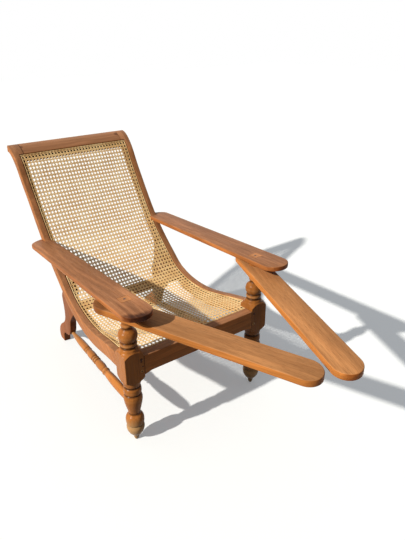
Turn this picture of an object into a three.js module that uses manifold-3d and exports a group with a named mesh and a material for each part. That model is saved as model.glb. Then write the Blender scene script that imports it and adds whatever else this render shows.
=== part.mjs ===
// Planter's chair: a low teak lounging chair whose two S-curved side rails carry one cane sweep for seat and back,
// with flat arms and two long leg rests that swing out from under the arms on the tops of the front posts.
// Millimetres, Z up. The chair faces -Y, and left is the sitter's left, which is +X.
import * as THREE from "three";
import { mergeVertices } from "three/addons/utils/BufferGeometryUtils.js";
import Module from "manifold-3d";

const wasm = await Module();
wasm.setup();

// Fits and small cuts
const clearance = 0.3;
const cutOverrun = 4;
const easedEdge = 2.5;
const mergeDistance = 1e-3;

// Front posts, each turned from a square bar, with its axis at the middle of the bar
const postSpread = 294;
const blockWidth = 78;
const blockDepth = 74;
const turningRadius = 36;
const footHeight = 290;
const blockHeight = 135;
const shoulderDrop = 18;
const pivotRadius = 24.4;
const tenonSide = 34;
const collarRadius = 28;

// Side rails, sawn in one sweep from the blocks to the crest
const sweepRun = 1067;
const sweepRise = 621;
const seatDrop = 87;
const railThickness = 48;
const railFaceWidth = 26;
const railSeatDepth = 62;
const railCrestDepth = 30;
const rebateDepth = 6;
const railSetback = 3;
const waistDraw = 34;
const waistRun = 712;

// Crest, front and rear cross rails
const crestFace = 83;
const crestRebate = 26;
const frontRailDrop = 26;
const frontRailHeight = 75;
const frontRailFace = 38;
const frontRailRebate = 13;
const bracketDrop = 7;
const bracketLength = 34;
const crossRailWidth = 44;
const crossRailDepth = 26;
const crossRailPlace = 489;
const crossTenonLength = 16;
const crossTenonDepth = 12;

// Joints in the posts
const railTenonLength = 30;
const railTenonThickness = 14;
const railTenonHeight = 38;
const railTenonInset = 18;
const railTenonDrop = 12;
const frontTenonLength = 34;
const frontTenonThickness = 16;
const frontTenonInset = 10;
const pegRadius = 4.5;
const pegLength = 30;
const pegInset = 12;
const pegSpacing = 50;

// Arms
const armTop = 630.7;
const armThickness = 19;
const armFront = 152;
const armRear = 826;
const armInnerOverhang = 47;
const armOuterOverhang = 65;
const armTaper = 13;
const armDrop = 68;
const hornRadius = 58;
const armButt = 800;
const armTenonLength = 22;
const armTenonWidth = 18;
const armTenonThickness = 9;
const nailRadius = 3.2;
const nailLength = 26;

// Leg rests
const restGap = 17.5;
const restThickness = 25.6;
const restReach = 693;
const restStub = 124;
const restStubWidth = 98;
const restTipWidth = 106;
const restDroop = 45;
const restBoreGap = 0.8;
const rightRestInward = 296.5;
const leftRestInward = 173.2;

// Rear legs
const legOuterPlane = 266;
const legThickness = 32;
const legHeelRun = 867;
const legToeRun = 600;
const legTipDrop = 25.6;
const legTipShare = 0.4;
const legTopShare = 0.92;
const screwRadius = 2.6;
const screwHeadRadius = 6;
const screwHeadDepth = 3.5;
const screwLength = 42;
const screwRunShares = [0.2, 0.32];
const screwRiseShares = [0.78, 0.87];

// Side stretchers
const stretcherRadius = 18.5;
const stretcherTenonRadius = 9;
const stretcherTenonLength = 16;
const stretcherFrontHeight = 172;
const stretcherFrontRun = 34.5;
const stretcherRearHeight = 97;
const stretcherRearHalfWidth = 250;
const stretcherRearShare = 0.405;

// Cane
const caneThickness = 2.4;
const caneLift = 0.7;
const binderThickness = 1.8;
const binderWidth = 8.5;
const binderGap = 1.5;
const strandWidth = 7;
const caneColumns = 8;
const caneRows = 18;

// Fineness of the curves
const turnedSides = 16;
const crestSteps = 5;
const sweepSamples = 1200;
const arcSteps = 10;

// The sweep's front face from the post to the crest, as shares of its run and of its rise above the lowest point
const sweepShares = [
  [0, 0.1],
  [0.058, 0.08],
  [0.125, 0.055],
  [0.19, 0.028],
  [0.25, 0.008],
  [0.32, 0],
  [0.38, 0.007],
  [0.434, 0.027],
  [0.489, 0.066],
  [0.546, 0.145],
  [0.62, 0.255],
  [0.69, 0.377],
  [0.753, 0.514],
  [0.812, 0.658],
  [0.853, 0.76],
  [0.904, 0.898],
  [0.949, 0.972],
  [0.978, 0.994],
  [1, 1],
];

// The rail's depth behind that face, as a length share with its place between seat depth and crest depth
const depthShares = [
  [0, 1],
  [0.25, 1],
  [0.36, 0.72],
  [0.48, 0.55],
  [0.6, 0.4],
  [0.75, 0.1],
  [0.9, 0.12],
  [1, 0],
];

// Radius and height shares of the turned foot, from the toe to the block
const footShares = [
  [0.19, 0],
  [0.27, 0.028],
  [0.36, 0.069],
  [0.44, 0.083],
  [0.66, 0.117],
  [0.85, 0.166],
  [0.96, 0.214],
  [0.99, 0.248],
  [0.945, 0.276],
  [0.89, 0.293],
  [0.96, 0.31],
  [1, 0.348],
  [0.97, 0.383],
  [0.85, 0.417],
  [0.67, 0.441],
  [0.63, 0.462],
  [0.685, 0.5],
  [0.81, 0.562],
  [0.93, 0.628],
  [1, 0.69],
  [0.985, 0.731],
  [0.9, 0.766],
  [0.81, 0.786],
  [0.92, 0.803],
  [0.945, 0.838],
  [0.92, 0.872],
  [0.835, 0.89],
  [0.88, 0.931],
  [1, 1],
];

// Radius and height shares of the turning between the block and the collar under the leg rest
const headShares = [
  [1, 0],
  [0.9, 0.03],
  [0.9, 0.05],
  [0.66, 0.085],
  [0.74, 0.113],
  [0.79, 0.163],
  [0.76, 0.212],
  [0.69, 0.24],
  [0.74, 0.26],
  [0.86, 0.332],
  [0.91, 0.431],
  [0.83, 0.523],
  [0.61, 0.594],
  [0.485, 0.643],
  [0.485, 0.678],
  [0.58, 0.707],
  [0.58, 0.749],
  [0.515, 0.784],
];

// Radius and length shares of a side stretcher, from the rear leg to the post
const stretcherShares = [
  [0.48, 0],
  [0.48, 0.02],
  [0.64, 0.07],
  [0.84, 0.16],
  [0.9, 0.24],
  [0.86, 0.305],
  [0.76, 0.312],
  [0.92, 0.32],
  [0.8, 0.332],
  [0.95, 0.38],
  [0.86, 0.44],
  [0.76, 0.448],
  [0.94, 0.462],
  [0.78, 0.475],
  [0.94, 0.488],
  [0.76, 0.502],
  [0.86, 0.51],
  [0.97, 0.57],
  [0.82, 0.632],
  [0.95, 0.643],
  [0.8, 0.654],
  [0.9, 0.7],
  [1, 0.79],
  [0.95, 0.89],
  [0.8, 0.97],
  [0.55, 1],
];

// The rear leg's outline from the heel round to the front, as shares of its run from toe to heel and of its height
const legShares = [
  [0.8, 0],
  [0.965, 0],
  [0.997, 0.028],
  [1, 0.062],
  [0.975, 0.108],
  [0.92, 0.152],
  [0.822, 0.2],
  [0.71, 0.24],
  [0.625, 0.283],
  [0.572, 0.327],
  [0.547, 0.385],
  [0.543, 0.46],
  [0.556, 0.54],
  [0.556, 0.575],
  [0.49, 0.64],
  [0.44, 0.74],
  [0.42, 0.84],
  [legTipShare, legTopShare],
  [0.3, 0.87],
  [0.04, 0.75],
  [0, 0.66],
  [0, 0.57],
  [0.13, 0.46],
  [0.26, 0.385],
  [0.322, 0.335],
  [0.35, 0.28],
  [0.39, 0.22],
  [0.44, 0.175],
  [0.5, 0.148],
  [0.6, 0.133],
  [0.72, 0.118],
  [0.77, 0.09],
];

const blockBottom = footHeight + shoulderDrop;
const blockTop = footHeight + blockHeight - shoulderDrop;
const blockCorner = Math.hypot(blockWidth, blockDepth) / 2;
const headBottom = footHeight + blockHeight;
const frontRailTop = headBottom - frontRailDrop;
const sweepLowHeight = headBottom - seatDrop;
const armInner = postSpread - armInnerOverhang;
const armOuter = postSpread + armOuterOverhang;
const armSlope = armDrop / (armFront + armRear);
const restSlope = restDroop / restReach;
const restTipPlace = restReach - restTipWidth / 2;
const rightRestTurn = Math.asin(rightRestInward / restTipPlace);
const leftRestTurn = Math.asin(leftRestInward / restTipPlace);
const armUnderside = armTop - armThickness;
const restTop = armUnderside - restGap;
const restUnderside = restTop - restThickness;
const collarTop = restUnderside - restSlope * collarRadius - clearance;
const railStart = blockDepth / 2 + clearance;
const blockInner = postSpread - blockWidth / 2;
const waistHalfWidth = blockInner + blockWidth - railSetback - waistDraw;
const frontRailFront = blockDepth / 2;

// The middle line of the side rail's front face, in the plane x = 0
const sweep = new THREE.CatmullRomCurve3(
  sweepShares.map(
    ([run, rise]) =>
      new THREE.Vector3(0, railStart + run * sweepRun, sweepLowHeight + rise * sweepRise),
  ),
  false,
  "centripetal",
);
sweep.arcLengthDivisions = sweepSamples;
const sweepLength = sweep.getLength();

const crestFaceStart = 1 - crestFace / sweepLength;
const crestStart = crestFaceStart - crestRebate / sweepLength;
const caneStart = -(railStart + frontRailFront - frontRailFace - clearance) / sweepLength;
const caneEnd = crestFaceStart - clearance / sweepLength;
const crestBinderStart = crestFaceStart - (binderGap + binderWidth) / sweepLength;

// The net's lines along the sweep: each strand's two edges, and one line across the middle of each gap
const linesPerGap = 3;
const caneShares = [caneStart];
const caneStrand = strandWidth / sweepLength;
const canePitch = (caneEnd - caneStart - caneStrand) / caneRows;
for (let row = 0; row < caneRows; row += 1) {
  const line = caneStart + row * canePitch;
  caneShares.push(line + caneStrand, line + (canePitch + caneStrand) / 2, line + canePitch);
}
caneShares.push(caneEnd);

// The side rails and the binder bend at the same places as the net that lies along them
const ringShares = [0, ...caneShares.filter((share) => share > 0)];
for (let step = 1; step <= crestSteps; step += 1) {
  ringShares.push(THREE.MathUtils.lerp(caneEnd, 1, step / crestSteps));
}

// A value read from a table of [place share, value share] by straight steps
function tableValue(table, place) {
  const next = table.findIndex(([share]) => share >= place);
  if (next <= 0) return table.at(next)[1];
  const [from, low] = table[next - 1];
  const [to, high] = table[next];
  return THREE.MathUtils.mapLinear(place, from, to, low, high);
}

// The height of the sweep's front face over a place along the chair
function sweepHeightAt(run) {
  return sweepLowHeight + sweepRise * tableValue(sweepShares, (run - railStart) / sweepRun);
}

const legTipRun = THREE.MathUtils.lerp(legToeRun, legHeelRun, legTipShare);
const legHeight = (sweepHeightAt(legTipRun) - legTipDrop) / legTopShare;

function railDepthAt(share) {
  return THREE.MathUtils.lerp(railCrestDepth, railSeatDepth, tableValue(depthShares, share));
}

// Half the chair's width over the side rails, which draw in to a waist and spread to the posts and the crest
function halfWidthAt(run) {
  const fromWaist = (run - railStart - waistRun) / waistRun;
  return waistHalfWidth + waistDraw * fromWaist * fromWaist;
}

// A point of the sweep, a drop behind its front face
function sweepPoint(share, drop) {
  const at = sweep.getPointAt(THREE.MathUtils.clamp(share, 0, 1));
  const along = sweep.getTangentAt(THREE.MathUtils.clamp(share, 0, 1));
  return new THREE.Vector2(at.y + along.z * drop, at.z - along.y * drop);
}

// A point of a side rail, an inset from its outer face and a drop behind its front face
function railPoint(share, side, inset, drop) {
  const place = sweepPoint(share, drop);
  return new THREE.Vector3(side * (halfWidthAt(place.x) - inset), place.x, place.y);
}

// A closed solid from points and triangles, with its faces turned outwards
function closedSolid(points, indices) {
  const geometry = new THREE.BufferGeometry().setFromPoints(points);
  geometry.setIndex(indices);
  return solidOf(geometry);
}

function solidOf(geometry) {
  const bare = new THREE.BufferGeometry();
  bare.setAttribute("position", geometry.getAttribute("position").clone());
  bare.setIndex(geometry.index ? geometry.index.clone() : null);
  const merged = mergeVertices(bare, mergeDistance);
  const vertProperties = merged.getAttribute("position").array;
  const triVerts = new Uint32Array(merged.index.array);
  const solid = new wasm.Manifold(new wasm.Mesh({ numProp: 3, vertProperties, triVerts }));
  if (solid.volume() >= 0) return solid;
  triVerts.reverse();
  return new wasm.Manifold(new wasm.Mesh({ numProp: 3, vertProperties, triVerts }));
}

function geometryOf(solid) {
  const mesh = solid.getMesh();
  const geometry = new THREE.BufferGeometry();
  geometry.setAttribute("position", new THREE.BufferAttribute(mesh.vertProperties, mesh.numProp));
  geometry.setIndex(new THREE.BufferAttribute(mesh.triVerts, 1));
  const flat = geometry.toNonIndexed();
  flat.computeVertexNormals();
  return flat;
}

// A solid through rings of points, each ring drawn round the same flat section
function loft(rings, section) {
  const turned = THREE.ShapeUtils.isClockWise(section);
  const outline = turned ? [...section].reverse() : section;
  const ordered = turned ? rings.map((ring) => [...ring].reverse()) : rings;
  const count = outline.length;
  const indices = [];
  for (let ring = 0; ring < ordered.length - 1; ring += 1) {
    for (let corner = 0; corner < count; corner += 1) {
      const here = ring * count + corner;
      const beside = ring * count + ((corner + 1) % count);
      indices.push(here, beside, beside + count, here, beside + count, here + count);
    }
  }
  const last = (ordered.length - 1) * count;
  for (const [a, b, c] of THREE.ShapeUtils.triangulateShape(outline, [])) {
    indices.push(c, b, a, last + a, last + b, last + c);
  }
  return closedSolid(ordered.flat(), indices);
}

// A strip that follows the sweep along one side rail between two shares: section points hold an inset and a drop
function sweepStrip(side, fromShare, toShare, sectionAt) {
  const between = ringShares.filter((share) => share > fromShare && share < toShare);
  const shares = [fromShare, ...between, toShare];
  const rings = shares.map((share) =>
    sectionAt(share).map((point) => railPoint(share, side, point.x, point.y)),
  );
  return loft(rings, sectionAt(toShare));
}

// A piece that spans the chair with the outline given in run and height, between the side rails at an inset
function spanSolid(outline, inset) {
  const ends = [-1, 1].map((side) =>
    outline.map((point) => new THREE.Vector3(side * (halfWidthAt(point.x) - inset), point.x, point.y)),
  );
  return loft(ends, outline);
}

// A block with its faces along the axes, from one corner to the other
function blockBetween(low, high) {
  const size = new THREE.Vector3().subVectors(high, low);
  const geometry = new THREE.BoxGeometry(Math.abs(size.x), Math.abs(size.y), Math.abs(size.z));
  const middle = new THREE.Vector3().addVectors(low, high).divideScalar(2);
  geometry.translate(middle.x, middle.y, middle.z);
  return solidOf(geometry);
}

// A turned solid from radius and height points, standing on its place with its axis along a direction
function turnedSolid(profile, place, direction) {
  const closed = [
    new THREE.Vector2(0, profile[0].y),
    ...profile,
    new THREE.Vector2(0, profile.at(-1).y),
  ];
  const geometry = new THREE.LatheGeometry(closed, turnedSides);
  geometry.rotateX(Math.PI / 2);
  const turn = new THREE.Quaternion().setFromUnitVectors(new THREE.Vector3(0, 0, 1), direction);
  geometry.applyQuaternion(turn);
  geometry.translate(place.x, place.y, place.z);
  return solidOf(geometry);
}

function rod(radius, length, place, direction) {
  const profile = [new THREE.Vector2(radius, 0), new THREE.Vector2(radius, length)];
  return turnedSolid(profile, place, direction);
}

// A flat board from a plan outline, with eased edges, its top at a height and falling along a direction
function slopedBoard(shape, thickness, top, fall) {
  const geometry = new THREE.ExtrudeGeometry(shape, {
    depth: thickness - 2 * easedEdge,
    bevelEnabled: true,
    bevelThickness: easedEdge,
    bevelSize: easedEdge,
    bevelOffset: -easedEdge,
    bevelSegments: 1,
    curveSegments: arcSteps,
  });
  geometry.translate(0, 0, top - thickness + easedEdge);
  const slope = new THREE.Matrix4();
  slope.elements[2] = fall.x;
  slope.elements[6] = fall.y;
  geometry.applyMatrix4(slope);
  return solidOf(geometry);
}

// The side rail's section: a raised outer strip, the rebate for the cane inside it, and eased edges
function railSection(share) {
  const depth = railDepthAt(share);
  return [
    new THREE.Vector2(0, easedEdge),
    new THREE.Vector2(easedEdge, 0),
    new THREE.Vector2(railFaceWidth, 0),
    new THREE.Vector2(railFaceWidth, rebateDepth),
    new THREE.Vector2(railThickness, rebateDepth),
    new THREE.Vector2(railThickness, depth - easedEdge),
    new THREE.Vector2(railThickness - easedEdge, depth),
    new THREE.Vector2(easedEdge, depth),
    new THREE.Vector2(0, depth - easedEdge),
  ];
}

// The space that one side rail takes, with the clearance round it and its rebate filled
function railEnvelope(side) {
  const section = (share) => {
    const depth = railDepthAt(share) + clearance;
    return [
      new THREE.Vector2(-clearance, -clearance),
      new THREE.Vector2(railThickness + clearance, -clearance),
      new THREE.Vector2(railThickness + clearance, depth),
      new THREE.Vector2(-clearance, depth),
    ];
  };
  return sweepStrip(side, 0, 1, section);
}

// The side rail's tenon in the rear face of the block, or its mortise when grown by the clearance
function railTenon(side, grow) {
  const outer = halfWidthAt(railStart) - railTenonInset;
  const top = sweepPoint(0, railTenonDrop).y;
  return blockBetween(
    new THREE.Vector3(side * (outer + grow), railStart - railTenonLength - grow, top - railTenonHeight - grow),
    new THREE.Vector3(
      side * (outer - railTenonThickness - grow),
      railStart + cutOverrun,
      top + grow,
    ),
  );
}

// The tenon of a cross member in the inner faces of the side rails, or its mortises when grown
function crossTenon(fromShare, toShare, dropTop, grow) {
  const outline = [
    sweepPoint(fromShare - grow / sweepLength, dropTop - grow),
    sweepPoint(toShare + grow / sweepLength, dropTop - grow),
    sweepPoint(toShare + grow / sweepLength, dropTop + crossTenonDepth + grow),
    sweepPoint(fromShare - grow / sweepLength, dropTop + crossTenonDepth + grow),
  ];
  return spanSolid(outline, railThickness - crossTenonLength - grow);
}

const crestTenonEnds = [crestStart + crestRebate / sweepLength / 2, 1 - crestRebate / sweepLength];
const crossStart = (crossRailPlace - crossRailWidth / 2) / sweepLength;
const crossEnd = (crossRailPlace + crossRailWidth / 2) / sweepLength;
const crossInset = crossRailWidth / sweepLength / 8;
const crossTop = rebateDepth + clearance;

function crestTenon(grow) {
  return crossTenon(crestTenonEnds[0], crestTenonEnds[1], rebateDepth + easedEdge, grow);
}

function crossRailTenon(grow) {
  const drop = crossTop + (crossRailDepth - crossTenonDepth) / 2;
  return crossTenon(crossStart + crossInset, crossEnd - crossInset, drop, grow);
}

// The arm's stub tenon in the front face of the side rail
function armTenon(side, grow) {
  const middle = armUnderside + armThickness / 2 - armSlope * armButt;
  const outer = waistHalfWidth - railFaceWidth / 4 + grow;
  const along = armButt - armTenonLength;
  return blockBetween(
    new THREE.Vector3(side * outer, along - armTenonLength, middle - armTenonThickness / 2 - grow),
    new THREE.Vector3(
      side * (outer - armTenonWidth - 2 * grow),
      along + armTenonLength + grow,
      middle + armTenonThickness / 2 + grow,
    ),
  );
}

// The space of one post's square block, with the clearance behind it
function blockSpace(side) {
  return blockBetween(
    new THREE.Vector3(side * (blockInner - clearance), -blockDepth, footHeight - blockHeight),
    new THREE.Vector3(side * (blockInner + 2 * blockWidth), railStart, headBottom + blockHeight),
  );
}

// The rebate ends at the crest's face: above it the side rail has its full width
function rebateStop(side) {
  const section = [
    new THREE.Vector2(railFaceWidth - easedEdge, 0),
    new THREE.Vector2(railThickness, 0),
    new THREE.Vector2(railThickness, rebateDepth + easedEdge),
    new THREE.Vector2(railFaceWidth - easedEdge, rebateDepth + easedEdge),
  ];
  return sweepStrip(side, crestFaceStart, 1, () => section);
}

function sideRail(side) {
  return sweepStrip(side, 0, 1, railSection)
    .add(rebateStop(side))
    .subtract(blockSpace(side))
    .add(railTenon(side, 0))
    .subtract(crestTenon(clearance))
    .subtract(crossRailTenon(clearance))
    .subtract(armTenon(side, clearance))
    .subtract(legScrews(side, clearance));
}

// The crest: its front face follows the sweep, with the caned rebate along its lower edge
function crestRail() {
  const outline = [
    sweepPoint(crestStart, rebateDepth),
    sweepPoint(crestFaceStart, rebateDepth),
  ];
  for (let step = 0; step <= crestSteps; step += 1) {
    const share = THREE.MathUtils.lerp(crestFaceStart, 1, step / crestSteps);
    outline.push(sweepPoint(share, 0));
  }
  for (let step = crestSteps; step >= 0; step -= 1) {
    const share = THREE.MathUtils.lerp(crestStart, 1, step / crestSteps);
    outline.push(sweepPoint(share, railDepthAt(share)));
  }
  return spanSolid(outline, railThickness + clearance).add(crestTenon(0));
}

function rearCrossRail() {
  const outline = [
    sweepPoint(crossStart, crossTop),
    sweepPoint((crossStart + crossEnd) / 2, crossTop),
    sweepPoint(crossEnd, crossTop),
    sweepPoint(crossEnd, crossTop + crossRailDepth),
    sweepPoint(crossStart, crossTop + crossRailDepth),
  ];
  return spanSolid(outline, railThickness + clearance).add(crossRailTenon(0));
}

// The front rail's outline seen from the front, with a small ogee bracket at each post
function frontRailShape() {
  const half = blockInner - clearance;
  const bottom = frontRailTop - frontRailHeight;
  const shape = new THREE.Shape();
  shape.moveTo(-half, frontRailTop);
  shape.lineTo(-half, bottom - bracketDrop);
  shape.bezierCurveTo(
    -half + bracketLength / 2,
    bottom - bracketDrop,
    -half + bracketLength / 2,
    bottom,
    -half + bracketLength,
    bottom,
  );
  shape.lineTo(half - bracketLength, bottom);
  shape.bezierCurveTo(
    half - bracketLength / 2,
    bottom,
    half - bracketLength / 2,
    bottom - bracketDrop,
    half,
    bottom - bracketDrop,
  );
  shape.lineTo(half, frontRailTop);
  shape.closePath();
  return shape;
}

function frontRailTenon(side, grow) {
  const front = -frontRailFront + frontTenonInset - grow;
  const inner = blockInner - clearance - cutOverrun;
  return blockBetween(
    new THREE.Vector3(side * inner, front, frontRailTop - frontRailHeight + frontTenonInset - grow),
    new THREE.Vector3(
      side * (blockInner + frontTenonLength + grow),
      front + frontTenonThickness + 2 * grow,
      frontRailTop - frontTenonInset + grow,
    ),
  );
}

function frontRail() {
  const geometry = new THREE.ExtrudeGeometry(frontRailShape(), {
    depth: frontRailFace + frontRailRebate,
    bevelEnabled: false,
    curveSegments: arcSteps,
  });
  geometry.rotateX(Math.PI / 2);
  geometry.translate(0, frontRailFace + frontRailRebate - frontRailFront, 0);
  const rebate = blockBetween(
    new THREE.Vector3(-blockInner - cutOverrun, frontRailFace - frontRailFront, frontRailTop - rebateDepth),
    new THREE.Vector3(
      blockInner + cutOverrun,
      frontRailFace + frontRailRebate - frontRailFront + cutOverrun,
      frontRailTop + cutOverrun,
    ),
  );
  let body = solidOf(geometry).subtract(rebate);
  for (const side of [-1, 1]) {
    body = body.add(frontRailTenon(side, 0));
    for (const level of [0, 1]) body = body.subtract(peg(side, level, clearance));
  }
  return body;
}

// A peg through the block and the front rail's tenon
function peg(side, level, grow) {
  const height = frontRailTop - frontRailHeight / 2 + (level - 1 / 2) * pegSpacing;
  const place = new THREE.Vector3(side * (blockInner + pegInset), -blockDepth / 2, height);
  return rod(pegRadius + grow, pegLength + grow, place, new THREE.Vector3(0, 1, 0));
}

function postProfile() {
  const points = footShares.map(
    ([radius, height]) => new THREE.Vector2(radius * turningRadius, height * footHeight),
  );
  points.push(new THREE.Vector2(blockCorner, blockBottom), new THREE.Vector2(blockCorner, blockTop));
  const headHeight = collarTop - headBottom;
  for (const [radius, height] of headShares) {
    points.push(new THREE.Vector2(radius * turningRadius, headBottom + height * headHeight));
  }
  const collar = collarRadius / 2;
  points.push(
    new THREE.Vector2(collarRadius - clearance, collarTop - collar),
    new THREE.Vector2(collarRadius, collarTop - collar + easedEdge),
    new THREE.Vector2(collarRadius, collarTop),
    new THREE.Vector2(pivotRadius, collarTop),
    new THREE.Vector2(pivotRadius, armUnderside - armSlope * pivotRadius - clearance),
  );
  return points;
}

// One post: turned between square shoulders, with a round pivot for the leg rest and a square tenon for the arm
function frontPost(side) {
  const up = new THREE.Vector3(0, 0, 1);
  const place = new THREE.Vector3(side * postSpread, 0, 0);
  const turned = turnedSolid(postProfile(), place, up);
  const bar = blockBetween(
    new THREE.Vector3(side * postSpread - blockWidth / 2, -blockDepth / 2, -cutOverrun),
    new THREE.Vector3(side * postSpread + blockWidth / 2, blockDepth / 2, armTop),
  );
  const tenon = blockBetween(
    new THREE.Vector3(side * postSpread - tenonSide / 2, -tenonSide / 2, collarTop),
    new THREE.Vector3(side * postSpread + tenonSide / 2, tenonSide / 2, armTop),
  );
  let post = turned.intersect(bar).add(tenon);
  post = post
    .subtract(railTenon(side, clearance))
    .subtract(frontRailTenon(side, clearance))
    .subtract(stretcherTenon(side, 1, clearance))
    .subtract(tenonNail(side, clearance));
  for (const level of [0, 1]) post = post.subtract(peg(side, level, clearance));
  return post;
}

// The nail driven down into the end of the square tenon
function tenonNail(side, grow) {
  const place = new THREE.Vector3(side * postSpread, 0, armTop - nailLength - grow);
  const length = grow > 0 ? nailLength + cutOverrun : nailLength;
  return rod(nailRadius + grow, length, place, new THREE.Vector3(0, 0, 1));
}

// The arm's plan: a round front, a straight taper, and a horn that runs on outside the side rail
function armShape(side) {
  const radius = (armOuter - armInner) / 2;
  const middle = (armOuter + armInner) / 2;
  const horn = waistHalfWidth + clearance;
  const shape = new THREE.Shape();
  shape.moveTo(side * armInner, -armFront + radius);
  shape.absarc(side * middle, -armFront + radius, radius, side > 0 ? Math.PI : 0, side > 0 ? 2 * Math.PI : -Math.PI, side < 0);
  shape.lineTo(side * armOuter, armRear - hornRadius);
  shape.quadraticCurveTo(side * armOuter, armRear - hornRadius / 3, side * horn, armRear);
  shape.lineTo(side * horn, armButt);
  shape.lineTo(side * (armInner + armTaper), armButt);
  shape.closePath();
  return shape;
}

function arm(side) {
  const fall = new THREE.Vector2(0, -armSlope);
  const board = slopedBoard(armShape(side), armThickness, armTop, fall);
  const hole = tenonSide / 2 + clearance;
  const socket = blockBetween(
    new THREE.Vector3(side * postSpread - hole, -hole, armUnderside - hole),
    new THREE.Vector3(side * postSpread + hole, hole, armTop + hole),
  );
  return board.subtract(socket).subtract(railEnvelope(side)).add(armTenon(side, 0));
}

// The leg rest's plan, pointing along -Y from its pivot, with both ends round
function restShape() {
  const stub = restStubWidth / 2;
  const tip = restTipWidth / 2;
  const shape = new THREE.Shape();
  shape.absarc(0, restStub - stub, stub, 0, Math.PI, false);
  shape.absarc(0, -restTipPlace, tip, Math.PI, 2 * Math.PI, false);
  shape.closePath();
  const bore = new THREE.Path();
  bore.absarc(0, 0, pivotRadius + restBoreGap, 0, 2 * Math.PI, true);
  shape.holes.push(bore);
  return shape;
}

function legRest() {
  return slopedBoard(restShape(), restThickness, restTop, new THREE.Vector2(0, restSlope));
}

function legPoint([run, height]) {
  return new THREE.Vector2(legToeRun + run * (legHeelRun - legToeRun), height * legHeight);
}

// One rear leg: a sawn plank lapped on to the inner face of the side rail
function rearLeg(side) {
  const outline = legShares.map(legPoint);
  const faces = [legOuterPlane, legOuterPlane - legThickness].map((plane) =>
    outline.map((point) => new THREE.Vector3(side * plane, point.x, point.y)),
  );
  return loft(faces, outline)
    .subtract(railEnvelope(side))
    .subtract(legScrews(side, clearance))
    .subtract(stretcherTenon(side, 0, clearance));
}

// A countersunk screw from the leg's inner face into the side rail
function legScrew(side, index, grow) {
  const place = legPoint([screwRunShares[index], screwRiseShares[index]]);
  const start = new THREE.Vector3(side * (legOuterPlane - legThickness), place.x, place.y);
  const lead = grow > 0 ? cutOverrun : 0;
  const profile = [
    new THREE.Vector2(screwHeadRadius + grow, -lead),
    new THREE.Vector2(screwHeadRadius + grow, easedEdge / 2 + grow),
    new THREE.Vector2(screwRadius + grow, screwHeadDepth + easedEdge / 2 + grow),
    new THREE.Vector2(screwRadius + grow, screwLength + grow),
  ];
  return turnedSolid(profile, start, new THREE.Vector3(side, 0, 0));
}

function legScrews(side, grow) {
  return legScrew(side, 0, grow).add(legScrew(side, 1, grow));
}

// The two ends of a stretcher's axis, the rear one on the front edge of the leg's foot
function stretcherEnds(side) {
  const rear = legPoint([stretcherRearShare, 0]).x;
  return [
    new THREE.Vector3(side * stretcherRearHalfWidth, rear, stretcherRearHeight),
    new THREE.Vector3(side * postSpread, stretcherFrontRun, stretcherFrontHeight),
  ];
}

// A stretcher's round tenon at its rear end (0) or front end (1), or its hole when grown
function stretcherTenon(side, end, grow) {
  const [rear, front] = stretcherEnds(side);
  const direction = new THREE.Vector3().subVectors(front, rear).normalize();
  const away = end ? direction : direction.clone().negate();
  const place = (end ? front : rear).clone().addScaledVector(away, -cutOverrun);
  return rod(stretcherTenonRadius + grow, stretcherTenonLength + cutOverrun + grow, place, away);
}

function sideStretcher(side) {
  const [rear, front] = stretcherEnds(side);
  const direction = new THREE.Vector3().subVectors(front, rear);
  const length = direction.length();
  const profile = stretcherShares.map(
    ([radius, place]) => new THREE.Vector2(radius * stretcherRadius, place * length),
  );
  return turnedSolid(profile, rear, direction.normalize())
    .add(stretcherTenon(side, 0, 0))
    .add(stretcherTenon(side, 1, 0));
}

// The strand edges of the net across the chair, as shares of its width
function strandEdges(gaps, size) {
  const strand = strandWidth / size;
  const pitch = (1 - strand) / gaps;
  const edges = [];
  for (let line = 0; line <= gaps; line += 1) edges.push(line * pitch, line * pitch + strand);
  return edges;
}

// A point of the cane on its way from the front rail's rebate, at negative shares, up the sweep to the crest
function canePoint(share, lift) {
  const onSweep = sweepPoint(share, rebateDepth - caneLift - lift);
  if (share >= 0) return onSweep;
  const onFrontRail = new THREE.Vector2(
    frontRailFace - frontRailFront + clearance,
    frontRailTop - rebateDepth + caneLift + lift,
  );
  return onSweep.lerp(onFrontRail, share / caneStart);
}

// The caned panel: one curved net with a gap in every cell between the strands
function canePanel() {
  const across = strandEdges(caneColumns, 2 * (waistHalfWidth - railFaceWidth));
  const along = caneShares;
  const points = [];
  const columns = across.length;
  for (const lift of [0, caneThickness]) {
    for (const share of along) {
      const at = canePoint(share, lift);
      const half = halfWidthAt(at.x) - railFaceWidth - clearance;
      for (const u of across) points.push(new THREE.Vector3((2 * u - 1) * half, at.x, at.y));
    }
  }
  const layer = columns * along.length;
  const isGap = (row, column) =>
    row < 0 ||
    column < 0 ||
    row >= along.length - 1 ||
    column >= columns - 1 ||
    (row % linesPerGap !== 0 && column % 2 === 1);
  const indices = [];
  const quad = (a, b, c, d) => indices.push(a, b, c, a, c, d);
  for (let row = 0; row < along.length - 1; row += 1) {
    for (let column = 0; column < columns - 1; column += 1) {
      if (isGap(row, column)) continue;
      const low = row * columns + column;
      const corners = [low, low + 1, low + columns + 1, low + columns];
      const [a, b, c, d] = corners.map((corner) => corner + layer);
      quad(a, b, c, d);
      quad(corners[3], corners[2], corners[1], corners[0]);
      const beside = [[row - 1, column], [row, column + 1], [row + 1, column], [row, column - 1]];
      beside.forEach(([nextRow, nextColumn], edge) => {
        if (!isGap(nextRow, nextColumn)) return;
        const from = corners[edge];
        const to = corners[(edge + 1) % corners.length];
        quad(from, to, to + layer, from + layer);
      });
    }
  }
  let panel = closedSolid(points, indices);
  for (const side of [-1, 1]) panel = panel.subtract(blockSpace(side));
  return panel;
}

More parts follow.
